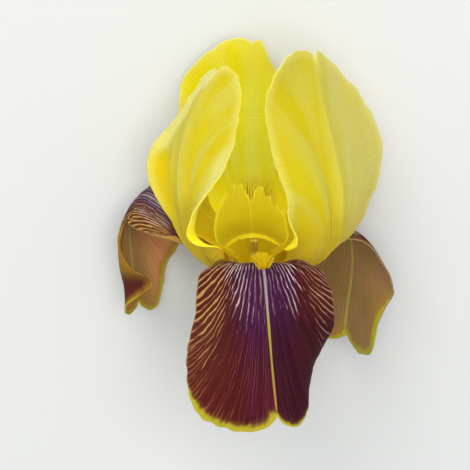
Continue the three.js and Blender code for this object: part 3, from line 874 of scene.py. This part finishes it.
def yellow_finish(name, painted_light_level, paleness_and_sheen, claw_veins, passes_on):
    made, tree, shader = finish(name, roughness=0.55, glow=0.85, sheen=0.03, shine=0.08)
    v, _, margin, x, down, gap = petal_places(tree)
    off = calc("ABSOLUTE", x)
    left = on_the_left(tree)
    between, chance = veins(v, down, gap, 1.3, 0.6)
    # Lemon, with pale lanes, a painted creamy sheen on the right half of all but the left one, and gold
    # towards the claw
    patch = clouds(x * 0.06, down * 0.06, 4)
    lane = clouds(v * 8, down * 0.03, 4).ramp(0.36, 0.64)
    pale = (patch * 0.5 + (lane * 0.5 - 0.25)).ramp(0.1, 0.5, 0, 0.55 + paleness_and_sheen)
    ground = tint(pale * x.ramp(-8, 8, 0.75, 1), LEMON, PALE_LEMON)
    ground = tint(x.ramp(-4, 12) * (1 - left) * (1.8 * paleness_and_sheen), ground, SHEEN_CREAM)
    ground = tint(down.ramp(14, 52, 0.85, 0), ground, GOLD)
    # Veins, a paler midrib that is a painted highlight of its ridge, and the dashes on the claw
    ground = tint(between.ramp(0, 0.45, 1, 0) * 0.16, ground, VEIN_GREEN)
    ground = tint(off.ramp(1.2, 4.6, 0.6, 0) * down.ramp(30, 46), ground, PALE_LEMON)
    marks = between.ramp(0.35, 0.9, 1, 0) * (down.ramp(33, 43, 1, 0) * down.ramp(6, 16))
    marks = marks * chance.ramp(0.2, 0.8, 0.3, 1) * off.ramp(5, 10, claw_veins, 0)
    ground = tint(marks, ground, CLAW_BROWN)
    # Painted shade: the outside face is darkened all over
    ground = tint(1 - painted_light_level, ground, BLACK)
    # The left standard's golden wing, and a painted creamy highlight along the margins, broadest on the
    # left one's rolled margin
    wing = left * x.ramp(-9, -5, 1, 0) * (3.4 * paleness_and_sheen)
    ground = tint(wing * down.ramp(46, 56, 1, 0), ground, WING_GOLD)
    near_roll = down.ramp(22, 34) * down.ramp(50, 66, 1, 0)
    rolled = left * x.ramp(-1, 1, down.ramp(48, 58), near_roll)
    edge = rolled * (-18 * paleness_and_sheen) + (margin - patch * 3)
    strength = down.ramp(26, 40) * (rolled * (1.2 * paleness_and_sheen) + 0.4)
    ground = tint(edge.ramp(-2, 2.5, 1, 0) * strength, ground, ROLL_HIGHLIGHT_CREAM)
    if passes_on:
        near_throat = down.ramp(24, 44, 0.2, 0.02) * (left * 0.6 + 1)
        higher = down.ramp(46, 62, 0, 0.08) * down.ramp(74, 90, 1, 0.1)
        passed_on(shader, THROAT_LIGHT, (near_throat + higher) * (1 - marks))
    # Veins, cells and ripples stand out a little
    ripples = clouds(v * 9, down * 0.8, 2)
    crossing = calc("SINE", ripples * 9 + down * 5.2) * patch.ramp(0.4, 0.6, 0, 0.55)
    height = between * 0.5 + clouds(x * 2.4, down * 2.4, 2) * 0.4
    cover(shader, ground, ripples * 3 + height + crossing, 0.5, 0.14)
    return made


STANDARD_INSIDE = yellow_finish(
    "standard_inside", painted_light_level=1.0, paleness_and_sheen=0.0, claw_veins=0.9, passes_on=True
)
STANDARD_OUTSIDE = yellow_finish(
    "standard_outside", painted_light_level=0.69, paleness_and_sheen=0.25, claw_veins=0.35, passes_on=False
)
print("finishes:", STANDARD_INSIDE.name, STANDARD_OUTSIDE.name)

# %% [markdown]
# ## The falls
# Each fall leaves the rim, arches outwards under its beard and then hangs. The three are alike in
# plan and differ in their edge and how they hang: the front one hangs square with its right half
# folded back, the right one turns its back to the viewer, and the left one curls its near half
# forward into a flap. The left and right edges are read as: how far to the side, and which share
# of the blade down. The stations are read as: out from the axis, to the side, up, twist, and the
# bend of the left and the right half in degrees for each millimetre. Where a margin rolls up too,
# more numbers say by how many degrees for each millimetre and where that starts, the left first.

# %% The fall's measures
FALL_PLAN = {"blade": 95, "fan": 0.1, "claw": 8, "root": 6.5, "veins": 24, "pleats": 0.05}
FALL_PLAN |= {"ragged": 0.009, "frill": 0.22}

FALLS = {
    "front": {
        "turn": -90, "seed": 3, "ruffle": (0.9, 5, 0.6),
        "left": [
            (8, 0.11), (10.5, 0.15), (13, 0.2), (16.5, 0.26), (20, 0.32), (22, 0.41), (23.6, 0.51),
            (26, 0.62), (27.5, 0.73), (26.8, 0.845), (22, 0.93), (13, 0.98), (4.5, 0.975), (1, 0.945),
            (0, 0.925),
        ],
        "right": [
            (8, 0.14), (10, 0.18), (12.5, 0.22), (15.5, 0.27), (19, 0.32), (22.5, 0.42), (24, 0.52),
            (24.5, 0.63), (23, 0.75), (18.5, 0.87), (11, 0.955), (5.5, 0.98), (1.5, 0.95), (0, 0.925),
        ],
        "stations": [
            (7.5, 0.4, 0, 0, 5, 5), (16, 1, 6.5, 0, 3.5, 3.5), (26, 2, 11, 0, 0, 0, -6, 13, -6, 13),
            (35, 2.9, 12, 0, -0.5, -0.6, -6, 15, -6, 15),
            (42, 3.6, 6.5, 0, -0.9, -1.4, -3, 17, -2, 17), (45.5, 4.6, -5, 0, -0.5, -2.2),
            (46.5, 5.6, -17, 0, -0.2, -3.6), (46.5, 6.8, -29, 0, -0.1, -4.8),
            (45, 8, -41, 0, -0.2, -5.8),
        ],
    },
    "right": {
        "turn": 34, "seed": 14, "ruffle": (1.2, 5, 2.2),
        "left": [
            (8, 0.23), (12, 0.28), (17, 0.36), (22, 0.46), (26, 0.57), (26.5, 0.67), (21, 0.77),
            (20, 0.87), (19.5, 0.965), (13, 1.005), (4, 0.985), (1, 0.955), (0, 0.945),
        ],
        "right": [
            (8, 0.25), (13, 0.3), (19, 0.38), (23, 0.48), (25, 0.6), (24.5, 0.73), (21, 0.85),
            (15, 0.94), (8, 0.985), (2, 0.97), (0, 0.945),
        ],
        "stations": [
            (7.5, 0, 0, 0, 5, 5), (16, 0, 6.5, 0, 4, 4), (26, 0, 12.5, 0, -0.4, 0.5),
            (34.5, 0, 15, 0, -1.6, -0.8), (40.5, 0, 11.5, 0, -1.2, -1), (42.8, 0, 3, 0, -0.7, -1),
            (42.3, 0, -7, 0, -0.4, -0.8), (40.2, 0, -18, 0, -0.4, -0.8), (38.5, 0, -30, 0, -0.2, -0.6),
        ],
    },
    "left": {
        "turn": 150, "seed": 25, "ruffle": (1.0, 5, 4.1),
        "left": [
            (8, 0.25), (12.5, 0.3), (18, 0.38), (23, 0.47), (26, 0.56), (27, 0.65), (27.5, 0.73),
            (23.5, 0.775), (17, 0.83), (14, 0.88), (12.5, 0.93), (9.5, 0.98), (7, 1.0), (3, 0.99),
            (1, 0.97), (0, 0.95),
        ],
        "right": [
            (8, 0.25), (12, 0.3), (14, 0.38), (13.5, 0.45), (13, 0.51), (12.5, 0.58), (11.5, 0.64),
            (10.5, 0.69), (9.5, 0.73), (9, 0.77), (13, 0.795), (21, 0.8), (24.5, 0.83), (23.5, 0.88),
            (17, 0.93), (10, 0.98), (3.5, 0.98), (0, 0.95),
        ],
        "stations": [
            (7.5, 0, 0, 0, 5, 5), (17, 0, 7, -4, 4, 4), (27, 0, 14.5, -12, 1, 0),
            (37, 0, 22, -20, -0.6, -1.4), (44, 0, 24.5, -20, -0.8, -2.6), (49, 0, 20, -14, -0.8, -2.4),
            (50.4, 0, 10.5, -4, -0.6, -2.4), (49.6, 0, 1, 8, -0.4, -4), (48.2, 0, -8, 15, -0.4, -5.6),
            (46, 0, -18.5, 20, -0.4, -4.2),
        ],
    },
}
print("stations:", {name: len(fall["stations"]) for name, fall in FALLS.items()})

# %% Bend the falls
PETAL_THICKNESS = 0.45
PETAL_CELLS = (116, 190)  # rows from root to margin, and columns across

for fall in FALLS.values():
    fall |= FALL_PLAN
bend_petals("fall", "petal", FALLS, "fall_petal", PETAL_CELLS, PETAL_THICKNESS, FALL_INSIDE, FALL_OUTSIDE)

# %% [markdown]
# ## The standards
# The standards stand up and lean together over the style. The back one spreads out behind, the
# right one bulges to the side, and the left one shows its back, with its front margin rolled
# outwards. The folds are read as: the vein that a fold follows, its width and depth, and where it
# starts and stops.

# %% The standard's measures
STANDARD_PLAN = {"blade": 88, "fan": 0.06, "claw": 5.5, "root": 5, "veins": 24, "pleats": 0.05}
STANDARD_PLAN |= {"ragged": 0.007, "frill": 0.25}

STANDARDS = {
    "right": {
        "turn": -30, "seed": 36, "ruffle": (1.0, 4, 0.3),
        "left": [
            (6.5, 0.12), (13, 0.18), (20.5, 0.25), (24, 0.34), (23.5, 0.43), (23.5, 0.56), (24.5, 0.7),
            (24.5, 0.84), (23, 0.92), (20, 0.985), (15, 1.02), (9, 1.03), (3.5, 1.01), (0, 0.955),
        ],
        "right": [
            (5.5, 0.15), (12, 0.21), (19, 0.29), (25, 0.4), (30, 0.52), (32, 0.66), (25, 0.82),
            (15, 0.94), (7, 1.0), (2.5, 1.015), (0, 0.955),
        ],
        "stations": [
            (6.8, 0, 0, 0, 8, 8, -4, 6), (15, 0, 4.5, 0, 5, 5, -14, 8),
            (26, 0, 10, 0, 4.4, 1.6, -16, 12), (32, 0, 19, 0, 3.4, 0.6, -14, 14),
            (33, 0, 32, 0, 2.2, 0.2, -4, 18, -1, 16), (30, 0, 46, 0, 2.2, 0, 0, 18, -1, 16),
            (26, 0, 61, 0, 1.8, 0, 0, 18, -0.8, 16), (23, 0, 77, 0, 1.0, 0, -1.5, 14),
        ],
        "folds": [
            (0.0, 0.05, -0.9, 0.0, 1.1), (-0.2, 0.11, 1.7, 0.25, 1.05),
        ],
    },
    "left": {
        "turn": 210, "seed": 47, "ruffle": (1.0, 4, 1.7),
        "left": [
            (5.5, 0.15), (11.5, 0.21), (15, 0.3), (20.5, 0.4), (23, 0.51), (22.5, 0.63), (18, 0.75),
            (12, 0.88), (8, 0.97), (2, 0.985), (0, 0.96),
        ],
        "right": [
            (6.5, 0.12), (10.5, 0.17), (12.5, 0.22), (12.5, 0.28), (12, 0.33), (13.5, 0.38),
            (16.5, 0.45), (19.5, 0.55), (20, 0.68), (18.5, 0.81), (15, 0.92), (9, 0.99), (2, 1.0),
            (0, 0.96),
        ],
        "stations": [
            (6.8, 0, 0, 0, 8, 8), (15, 0, 4.5, 0, 5, 5), (21.5, 0, 10, 0, 2.4, 3.6),
            (25.2, 0, 17.5, 0, 2, 2.8, -5, 12, -9, 3.5), (27, 0, 26, 0, 2.4, 2.6, -9, 11, -9, 4),
            (28.3, 0, 36, 0, 2.4, 3.2, -10, 11, -10, 9), (26.5, 0, 48, 0, 2.4, 3.2, -9, 11, -9, 12),
            (21.3, 0, 60.5, 0, 3.2, 3, -5, 9, -7, 14), (13, 0, 73.5, 0, 3, 3.6, -4, 6, -2, 8),
        ],
        "folds": [
            (0.0, 0.05, -0.6, 0.1, 1.1), (0.22, 0.09, 1.4, 0.3, 1.0), (-0.2, 0.08, 0.9, 0.3, 1.0),
        ],
    },
    "back": {
        "turn": 90, "seed": 58, "ruffle": (1.2, 4, 2.9),
        "left": [
            (5.5, 0.14), (12, 0.22), (16.5, 0.31), (20.5, 0.43), (21.5, 0.56), (17.5, 0.7),
            (9.5, 0.84), (5.2, 0.945), (3, 0.99), (1, 0.995), (0, 0.98),
        ],
        "right": [
            (5.5, 0.14), (12.5, 0.22), (18.5, 0.31), (24, 0.43), (27, 0.56), (27, 0.7), (25.5, 0.81),
            (20.5, 0.885), (12.5, 0.955), (5, 1.0), (1.5, 0.995), (0, 0.98),
        ],
        "stations": [
            (6.8, 0, 0, 0, 8, 8), (13, 0, 6, 0, 5, 5), (25.5, 0, 15, 0, 2.4, 2),
            (35, 0, 30, 0, 2, 1.4), (41, 0, 48, 0, 2, 1), (35.5, 0, 64, 0, 2.4, 0.6),
            (24, 0, 79, 0, 2.6, 0.6),
        ],
    },
}
print("stations:", {name: len(standard["stations"]) for name, standard in STANDARDS.items()})

# %% Bend the standards
for standard in STANDARDS.values():
    standard |= STANDARD_PLAN
faces = (STANDARD_INSIDE, STANDARD_OUTSIDE)
bend_petals("standard", "petal", STANDARDS, "standard_petal", PETAL_CELLS, PETAL_THICKNESS, *faces)

# %% [markdown]
# ## Golden flesh, for the style
# The style is thicker and deeper in colour than the petals, a warm gold that turns ochre in the
# shade under its lips. A faint pale line marks the middle of each branch, the edges of the crests
# and lips get a painted highlight, and the crest is thin enough to glow. A faint emission,
# strongest low in the throat, is painted light that the petals pass on to it.

# %% Gold finish
GOLD_SHADE, GOLD_LIGHT = (0.47, 0.35, 0.001), (0.52, 0.40, 0.003)
CREST_GOLD = (0.54, 0.44, 0.006)
STYLE_VEIN = (0.40, 0.29, 0.002)
STYLE_MIDDLE = (0.62, 0.52, 0.04)
STYLE_EDGE_HIGHLIGHT = (0.80, 0.68, 0.03)
STYLE_LIGHT = (0.90, 0.66, 0.001)


def gold_finish():
    made, tree, shader = finish("style_gold", roughness=0.5, glow=0.8, sheen=0.03, shine=0.08)
    v, u, margin, x, down, gap = petal_places(tree)
    between, _ = veins(v, down, gap, 1.6, 0.4)
    patch = clouds(x * 0.12, down * 0.12)
    ground = tint(patch.ramp(0.35, 0.65), GOLD_SHADE, GOLD_LIGHT)
    ground = tint(u.ramp(0.35, 0.95, 0, 0.5), ground, CREST_GOLD)
    ground = tint(between.ramp(0, 0.4, 0.25, 0), ground, STYLE_VEIN)
    ground = tint(calc("ABSOLUTE", x).ramp(0.15, 0.6, 0.5, 0), ground, STYLE_MIDDLE)
    # Painted highlight: the edges of the crests and the lips are lighter
    ground = tint(margin.ramp(0.2, 1.2, 0.35, 0), ground, STYLE_EDGE_HIGHLIGHT)
    # Painted light: a faint emission, strongest low in the throat, for light that the petals pass on
    passed_on(shader, STYLE_LIGHT, down.ramp(19, 26, 0.17, 0.11))
    cover(shader, ground, between * 0.5 + clouds(x * 2.6, down * 2.6, 2), 0.4, 0.1)
    return made


STYLE_GOLD = gold_finish()
print("finish:", STYLE_GOLD.name)

# %% [markdown]
# ## The style
# Three branches leave a short column, arch up over the falls and stand up as a crest with two
# jagged lobes. Under each crest, over the anther, a small flap of tissue catches pollen: the lip.
# Branches and lips grow out of one body, so they are one piece.

# %% The style's branches
STYLE = {
    "blade": 12.5, "claw": 7, "root": 2, "veins": 6, "pleats": 0.03,
    "ragged": 0.01, "frill": 0.25, "teeth": (0.085, 26, 0.42), "ruffle": (0.3, 3, 0.8),
    "left": [
        (7, 0.26), (10, 0.38), (12, 0.5), (12.5, 0.61), (11.6, 0.72), (9.4, 0.82), (6.4, 0.93),
        (4, 0.975), (1.6, 0.93), (0, 0.83),
    ],
    "right": [
        (7, 0.26), (10, 0.38), (12, 0.5), (12.5, 0.61), (11.4, 0.71), (8.8, 0.8), (5.6, 0.885),
        (3.6, 0.93), (1.5, 0.9), (0, 0.83),
    ],
    "stations": [
        (1.2, 0, 5, 0, -4, -4), (8, 0, 11.5, 0, -5, -5), (15, -0.3, 17.5, 0, -4, -4),
        (21, -0.7, 21.5, 0, -2.8, -2.8), (25, -1, 26.5, 0, -1.6, -1.6),
        (26.5, -1.3, 33, 0, -0.4, -0.4), (26.5, -1.6, 40, 0, 0.6, 0.6),
    ],
}
LIP = {"at": 0.5, "dip": -0.09, "half_width": 9.6, "depth": 1.3, "droop": 1.2}
BRANCH_LENGTH, BRANCH_GAP = 40, 14.0  # millimetres: a branch, and one whole step of its v
STYLE_THICKNESS, LIP_THICKNESS = 0.7, 0.5
COLUMN_RADIUS, COLUMN_LOW, COLUMN_TOP = 2.3, 0.6, 7.5


def lip(name, branch):
    """The flap under a crest."""
    piece, u, v = grid(name, 6, 40)
    x = v * LIP["half_width"]
    s = LIP["at"] + LIP["dip"] * v * v
    root = turned(on_sheet(branch, x, s)[0], branch["turn"])
    reach = u * LIP["depth"] * np.sqrt(1 - 0.8 * v * v) * (1 + 0.08 * waves(v, 77, 8, 30))
    outward = turned(np.array([[1.0, 0.0, 0.0]]), branch["turn"])
    points = root + outward * reach[:, None]
    points[:, 2] -= LIP["droop"] * reach
    move_points(piece, laid_down(points))
    keep(piece, "vein_place", 0.8 * v, 0.6 + 0.4 * u, 1 - u)
    keep(piece, "flat_place", x, s * BRANCH_LENGTH, BRANCH_GAP)
    piece.data.materials.append(STYLE_GOLD)
    solidify(piece, LIP_THICKNESS)
    return piece


branches = []
for index, (name, fall) in enumerate(FALLS.items()):
    branch = STYLE | {"turn": fall["turn"], "seed": 70 + index}
    arm = make_sheet(f"branch_{name}", branch, (70, 110), STYLE_THICKNESS, STYLE_GOLD, STYLE_GOLD)
    branches += [arm, lip(f"lip_{name}", branch)]
print("branches and lips:", len(branches))


# %% The style's column
def column_rings(u, angle):
    """A short rod with a rounded top and bottom."""
    up = COLUMN_LOW + (COLUMN_TOP - COLUMN_LOW) * u
    wide = COLUMN_RADIUS * np.sqrt(np.clip(1 - np.abs(2 * u - 1) ** 12, 0, 1))
    return np.stack([wide * np.cos(angle), wide * np.sin(angle), up], axis=1)


column = make_skin("style_column", (40, 32), column_rings, STYLE_GOLD)
# To the finish the whole column is one spot, low on a branch and off its middle
keep(column, "vein_place", 0.5, 0.2, 3.0)
keep(column, "flat_place", 3.0, 5.0, 5.0)
style = join([*branches, column])
style.name = "style_branches"
belongs(style, "style")
print("style faces:", len(style.data.polygons))

# %% [markdown]
# ## Stamens
# One stamen hides under each branch of the style: a flat pale filament, and an anther of two long
# lobes that are dull gold when they open. Each part is a skin that runs along a curve.


# %% Stamen finishes
def plain_flesh(name, roughness, glow, one, other, scale, strength):
    """Flesh that wanders between two colours, with a fine grain."""
    made, tree, shader = finish(name, roughness, glow)
    place = object_place(tree)
    colour = tint(cloudy(place, scale, 4).ramp(0.35, 0.65), one, other)
    cover(shader, colour, cloudy(place, scale * 6), strength, 0.1)
    return made


ANTHER_GOLD = plain_flesh("anther_gold", 0.75, 0.1, (0.50, 0.32, 0.02), (0.62, 0.45, 0.05), 900, 0.8)
FILAMENT_PALE = plain_flesh("filament_pale", 0.5, 0.3, (0.72, 0.62, 0.18), (0.78, 0.72, 0.36), 500, 0.3)
print("finishes:", ANTHER_GOLD.name, FILAMENT_PALE.name)

# %% Stamens
FILAMENT = [(5.4, 0, 1.2), (8, 0, 5.2), (11.5, 0, 9.6), (15.2, 0, 13)]
ANTHER = [(15, 0, 12.7), (18, 0, 15.6), (21, 0, 17.7)]
ANTHER_HALF_GAP = 0.6


def rod(name, sides, line, width, depth, turn, flesh, shift=0.0):
    """A skin along a line of places (out, side, up). width and depth are half sizes at its ends."""

    def rings(u, angle):
        t = measured(line)[1](u)
        run = through(line, t + 0.001) - through(line, t - 0.001)
        run /= np.linalg.norm(run, axis=1)[:, None]
        over = np.stack([-run[:, 2], 0 * u, run[:, 0]], axis=1)
        end = np.sqrt(np.clip(1 - np.abs(2 * u - 1) ** 8, 0, 1))
        high = np.interp(u, (0, 1), depth) * end * np.sin(angle)
        points = through(line, t) + over * high[:, None]
        points[:, 1] += shift + np.interp(u, (0, 1), width) * end * np.cos(angle)
        return turned(points, turn)

    return make_skin(name, sides, rings, flesh)


for name, fall in FALLS.items():
    turn, around = fall["turn"], (30, 20)
    parts = [rod("filament", around, FILAMENT, (0.9, 0.5), (0.5, 0.35), turn, FILAMENT_PALE)]
    for shift in (-ANTHER_HALF_GAP, ANTHER_HALF_GAP):
        parts.append(rod("lobe", around, ANTHER, (0.8, 0.8), (0.72, 0.72), turn, ANTHER_GOLD, shift))
    stamen = join(parts)
    stamen.name = f"stamen_{name}_anther"
    belongs(stamen, f"stamen_{name}")
print("stamen faces:", len(stamen.data.polygons))

# %% [markdown]
# ## Beards
# A beard is a strip of soft hairs along the midrib of a fall, dense as velvet pile. A hair is
# modelled once, as a thin cone that leans over, and its points are then repeated some hundreds of
# times with their own length and lean. Hairs deep in the throat are short and orange, and those
# in front are longer and lemon-tipped.

# %% Beard finish
HAIR_ROOT, HAIR_TIP = (0.72, 0.34, 0.002), (0.90, 0.64, 0.003)
HAIR_DEEP, HAIR_LEMON = (0.74, 0.33, 0.002), (0.92, 0.74, 0.02)


def beard_finish():
    made, tree, shader = finish("beard_gold", roughness=0.6, glow=0.25, sheen=0.05, shine=0.06)
    tip, deep, chance = parts_of(tree, "hair_place")
    colour = tint(tip.ramp(0, 0.8), HAIR_ROOT, HAIR_TIP)
    colour = tint(deep.ramp(0.35, 0) * 0.5, colour, HAIR_DEEP)
    colour = tint(chance * 0.35, colour, HAIR_LEMON)
    cover(shader, colour, cloudy(object_place(tree), 2500, 2), 0.3, 0.05)
    return made


BEARD_GOLD = beard_finish()
print("finish:", BEARD_GOLD.name)

# %% One hair
HAIR_CUTS = (-0.15, 0.2)  # the rings where it can bend, between its ends at -0.5 and 0.5
HAIR_TAPER = 0.72

bpy.ops.object.select_all(action="DESELECT")
bpy.ops.mesh.primitive_cylinder_add(vertices=5, radius=1, depth=1, end_fill_type="NGON", location=(0, 0, 0))
one_hair = bpy.context.object
bpy.ops.object.mode_set(mode="EDIT")
for height in HAIR_CUTS:
    bpy.ops.mesh.select_all(action="SELECT")
    bpy.ops.mesh.bisect(plane_co=(0, 0, height), plane_no=(0, 0, 1))
bpy.ops.object.mode_set(mode="OBJECT")
hair_points = np.array([v.co for v in one_hair.data.vertices])
hair_faces = [list(face.vertices) for face in one_hair.data.polygons]
bpy.data.objects.remove(one_hair)
hair_up = hair_points[:, 2] + 0.5
hair_points[:, :2] *= (1.0 - HAIR_TAPER * hair_up**1.5)[:, None]
print("one hair:", len(hair_faces), "faces")

# %% Beards
BEARD = {"from": 0.13, "to": 0.37, "hairs": 520, "length": 3.9, "radius": 0.15, "half_width": 1.9}
BEARD |= {"spread": 0.75, "forward": (-0.1, 0.7), "outward": 0.42, "tousle": 0.16, "curl": 0.5}
RIDGE_WIDTH, RIDGE_HEIGHT = (1.5, 1.5), (0.75, 0.75)


def hairs_on(fall, chance, name):
    """The hairs of one beard, as copies of the one hair with their own length and lean."""
    count = BEARD["hairs"]
    share = np.sort(chance.uniform(0, 1, count))
    s = BEARD["from"] + (BEARD["to"] - BEARD["from"]) * share
    x = chance.normal(0, BEARD["spread"], count).clip(-BEARD["half_width"], BEARD["half_width"])
    foot, normal = on_sheet(fall, x, s)
    foot = foot + normal * BEARD["radius"]
    forward = chance.uniform(*BEARD["forward"], count)
    outward = BEARD["outward"] * x + chance.normal(0, BEARD["tousle"], count)
    way = normal + np.stack([forward, outward, 0 * x], axis=1)
    way /= np.linalg.norm(way, axis=1)[:, None]
    # Shorter deep in the throat and towards the sides
    length = BEARD["length"] * chance.uniform(0.7, 1.0, count) * np.minimum(1, 0.5 + 1.3 * share)
    length *= 1 - 0.12 * np.abs(x)
    one = np.cross(way, np.array([0.0, 0.0, 1.0]))
    one /= np.linalg.norm(one, axis=1)[:, None]
    other = np.cross(way, one)
    curl = chance.uniform(-BEARD["curl"], BEARD["curl"], count)
    up = hair_up[None, :, None]
    points = foot[:, None] + way[:, None] * up * length[:, None, None]
    points += one[:, None] * (hair_points[None, :, 0:1] * BEARD["radius"] + curl[:, None, None] * up**2)
    points += other[:, None] * hair_points[None, :, 1:2] * BEARD["radius"]
    faces = [[k + i * len(hair_points) for k in face] for i in range(count) for face in hair_faces]
    mesh = bpy.data.meshes.new(name)
    flat = laid_down(turned(points.reshape(-1, 3), fall["turn"]))
    mesh.from_pydata([tuple(point) for point in flat], [], faces)
    hairs = bpy.data.objects.new(name, mesh)
    scene.collection.objects.link(hairs)
    own = (share, chance.uniform(0, 1, count))
    keep(hairs, "hair_place", np.tile(hair_up, count), *(np.repeat(value, len(hair_up)) for value in own))
    mesh.materials.append(BEARD_GOLD)
    return hairs


for index, (name, fall) in enumerate(FALLS.items()):
    hairs = hairs_on(fall, np.random.default_rng(410 + index), f"beard_{name}_hairs")
    middle = np.linspace(BEARD["from"], BEARD["to"], 9)
    spine, upwards = on_sheet(fall, 0 * middle, middle)
    spine = spine + upwards * 0.5
    ridge = rod("ridge", (40, 20), spine, RIDGE_WIDTH, RIDGE_HEIGHT, fall["turn"], BEARD_GOLD)
    keep(ridge, "hair_place", 0.0, 0.2, 0.2)  # coloured like the roots of the hairs
    beard = join([hairs, ridge])
    close_up(merge=False, smooth_below=70)
    belongs(beard, f"beard_{name}")
print("beard faces:", len(beard.data.polygons))

# %% [markdown]
# ## Stalk, ovary and floral tube
# Behind the petals a short tube widens to the rim that they grow from. Below it sits the ovary,
# with three rounded lobes and a groove between each two, and the stalk is cut off square under
# it. All of it is one green skin, and the cut shows paler flesh with a ring of dots.

# %% Green finish
GREEN_SHADE, GREEN_LIGHT = (0.13, 0.24, 0.04), (0.22, 0.34, 0.07)
STRIPE_GREEN, TUBE_GREEN = (0.30, 0.42, 0.12), (0.42, 0.46, 0.12)
PITH_PALE, PITH_RIM, PITH_DOT = (0.62, 0.68, 0.36), (0.26, 0.38, 0.10), (0.30, 0.34, 0.12)


def green_finish():
    made, tree, shader = finish("stalk_waxy_green", roughness=0.42, glow=0.15)
    place = object_place(tree)
    along, around, from_middle = parts_of(tree, "stalk_place")
    patch = cloudy(place, 160, 4)
    stripes = clouds(around * 26, along * 0.05)
    ground = tint(patch.ramp(0.35, 0.65), GREEN_SHADE, GREEN_LIGHT)
    ground = tint(stripes.ramp(0.45, 0.7, 0, 0.45), ground, STRIPE_GREEN)
    ground = tint(along.ramp(-12, -2), ground, TUBE_GREEN)
    dots = node(tree, "TexVoronoi", place, None, 1100)
    pith = tint(from_middle.ramp(0.7, 0.95), PITH_PALE, PITH_RIM)
    pith = tint(dots.ramp(0.18, 0.3, 0.45, 0), pith, PITH_DOT)
    cut = along.ramp(-49.98, -49.9, 1, 0)
    cover(shader, tint(cut, ground, pith), stripes * 0.7 + patch, 0.35, 0.15)
    return made


STALK_GREEN = green_finish()
print("finish:", STALK_GREEN.name)

# %% Stalk
STEM = [
    (3.4, -50, 0), (3.5, -45, 0), (3.9, -40, 0.02), (5.0, -35, 0.08), (5.4, -30, 0.1),
    (5.2, -25, 0.1), (4.4, -19, 0.06), (4.1, -13, 0.02), (4.5, -8, 0), (5.8, -4, 0),
    (7.4, -1.8, 0), (8.2, -0.9, 0),
]  # radius, height, and how deep the three lobes are
CUT_SHARE, TOP_SHARE = 0.06, 0.94  # of u: the cut face, and the floor of the flower


def stalk_rows(u):
    t = (u - CUT_SHARE) / (TOP_SHARE - CUT_SHARE)
    radius, up, lobing = through(STEM, t).T
    radius = np.where(t < 0, STEM[0][0] * u / CUT_SHARE, radius)
    radius = np.where(t > 1, STEM[-1][0] * (1 - u) / (1 - TOP_SHARE), radius)
    up = np.where(t > 1, up + RIM_ABOVE_TUBE * smoothly(u, TOP_SHARE, 1), up)
    return radius, up, np.where((t < 0) | (t > 1), 0, lobing)


def stalk_rings(u, angle):
    radius, up, lobing = stalk_rows(u)
    reach = radius * (1 + lobing * np.cos(3 * angle + math.pi / 2))
    groove = np.exp(-((np.mod(3 * angle + math.pi / 2, 2 * math.pi) / 0.5) ** 2))
    reach = reach * (1 - 0.35 * lobing * groove)
    return np.stack([reach * np.cos(angle), reach * np.sin(angle), up], axis=1)


def stalk_place(u, v):
    """For the finish: the height, the way round, and on the cut how far from its middle."""
    return stalk_rows(u)[1], v, np.minimum(u / CUT_SHARE, 1)


stalk = make_skin("stalk_and_ovary", (150, 96), stalk_rings, STALK_GREEN, stalk_place)
belongs(stalk, "stem")
print("stalk faces:", len(stalk.data.polygons))

# %% [markdown]
# ## Spathes
# Two bracts wrap the ovary. When the flower opens they have begun to dry: green at the foot, straw
# brown and thin as paper at the edges, with lengthwise veins.

# %% Spathe finish
LEAF_SHADE, LEAF_LIGHT = (0.20, 0.30, 0.07), (0.32, 0.40, 0.13)
STRAW_SHADE, STRAW_LIGHT = (0.46, 0.38, 0.20), (0.58, 0.50, 0.32)
BRACT_VEIN = (0.18, 0.20, 0.06)


def spathe_finish():
    made, tree, shader = finish("spathe_papery", roughness=0.6, glow=0.2)
    v, u, margin, x, down, gap = petal_places(tree)
    between, _ = veins(v, down, gap, 1.0, 0.3)
    patch = clouds(x * 0.2, down * 0.2, 4)
    dry = calc("MAXIMUM", margin.ramp(0.8, 3.6, 1, 0), u.ramp(0.5, 1))
    green = tint(patch.ramp(0.35, 0.65), LEAF_SHADE, LEAF_LIGHT)
    ground = tint(dry, green, tint(patch.ramp(0.4, 0.6), STRAW_SHADE, STRAW_LIGHT))
    ground = tint(between.ramp(0, 0.4, 0.4, 0), ground, BRACT_VEIN)
    cover(shader, ground, between + patch, 0.6, 0.12)
    return made


SPATHE_PAPERY = spathe_finish()
print("finish:", SPATHE_PAPERY.name)

# %% Spathes
SPATHE_CELLS, SPATHE_THICKNESS = (80, 90), 0.35
SPATHE_PLAN = {"blade": 8, "claw": 6, "root": 3.2, "veins": 12, "pleats": 0.04, "ragged": 0.01}
SPATHE_PLAN |= {"frill": 0.1, "ruffle": (0, 0, 0)}
SPATHES = {
    "outer": {
        "turn": 0,
        "half": [
            (6, 0.1), (8.2, 0.25), (8.6, 0.42), (7.4, 0.6), (5, 0.78), (2.4, 0.92), (0, 1),
        ],
        "stations": [
            (4.8, 0, -41, 0, 10, 10), (6.5, 0, -34, 0, 8.4, 8.4), (6.9, 0, -25, 0, 8, 8),
            (6.6, 0, -15, 0, 8, 8), (8, 0, -5, 0, 5, 5),
        ],
    },
    "inner": {
        "turn": 180,
        "half": [
            (5.6, 0.1), (7.6, 0.25), (7.8, 0.42), (6.4, 0.6), (4.2, 0.78), (2, 0.92), (0, 1),
        ],
        "stations": [
            (4.9, 0, -39, 0, 10, 10), (6.9, 0, -33, 0, 8, 8), (7.1, 0, -25, 0, 7.8, 7.8),
            (6.7, 0, -17, 0, 8, 8), (7.4, 0, -8, 0, 5, 5),
        ],
    },
}
for index, spathe in enumerate(SPATHES.values()):
    spathe |= SPATHE_PLAN | {"left": spathe["half"], "right": spathe["half"], "seed": 90 + index}
papers = (SPATHE_PAPERY, SPATHE_PAPERY)
bend_petals("spathe", "bract", SPATHES, "spathe_paper", SPATHE_CELLS, SPATHE_THICKNESS, *papers)
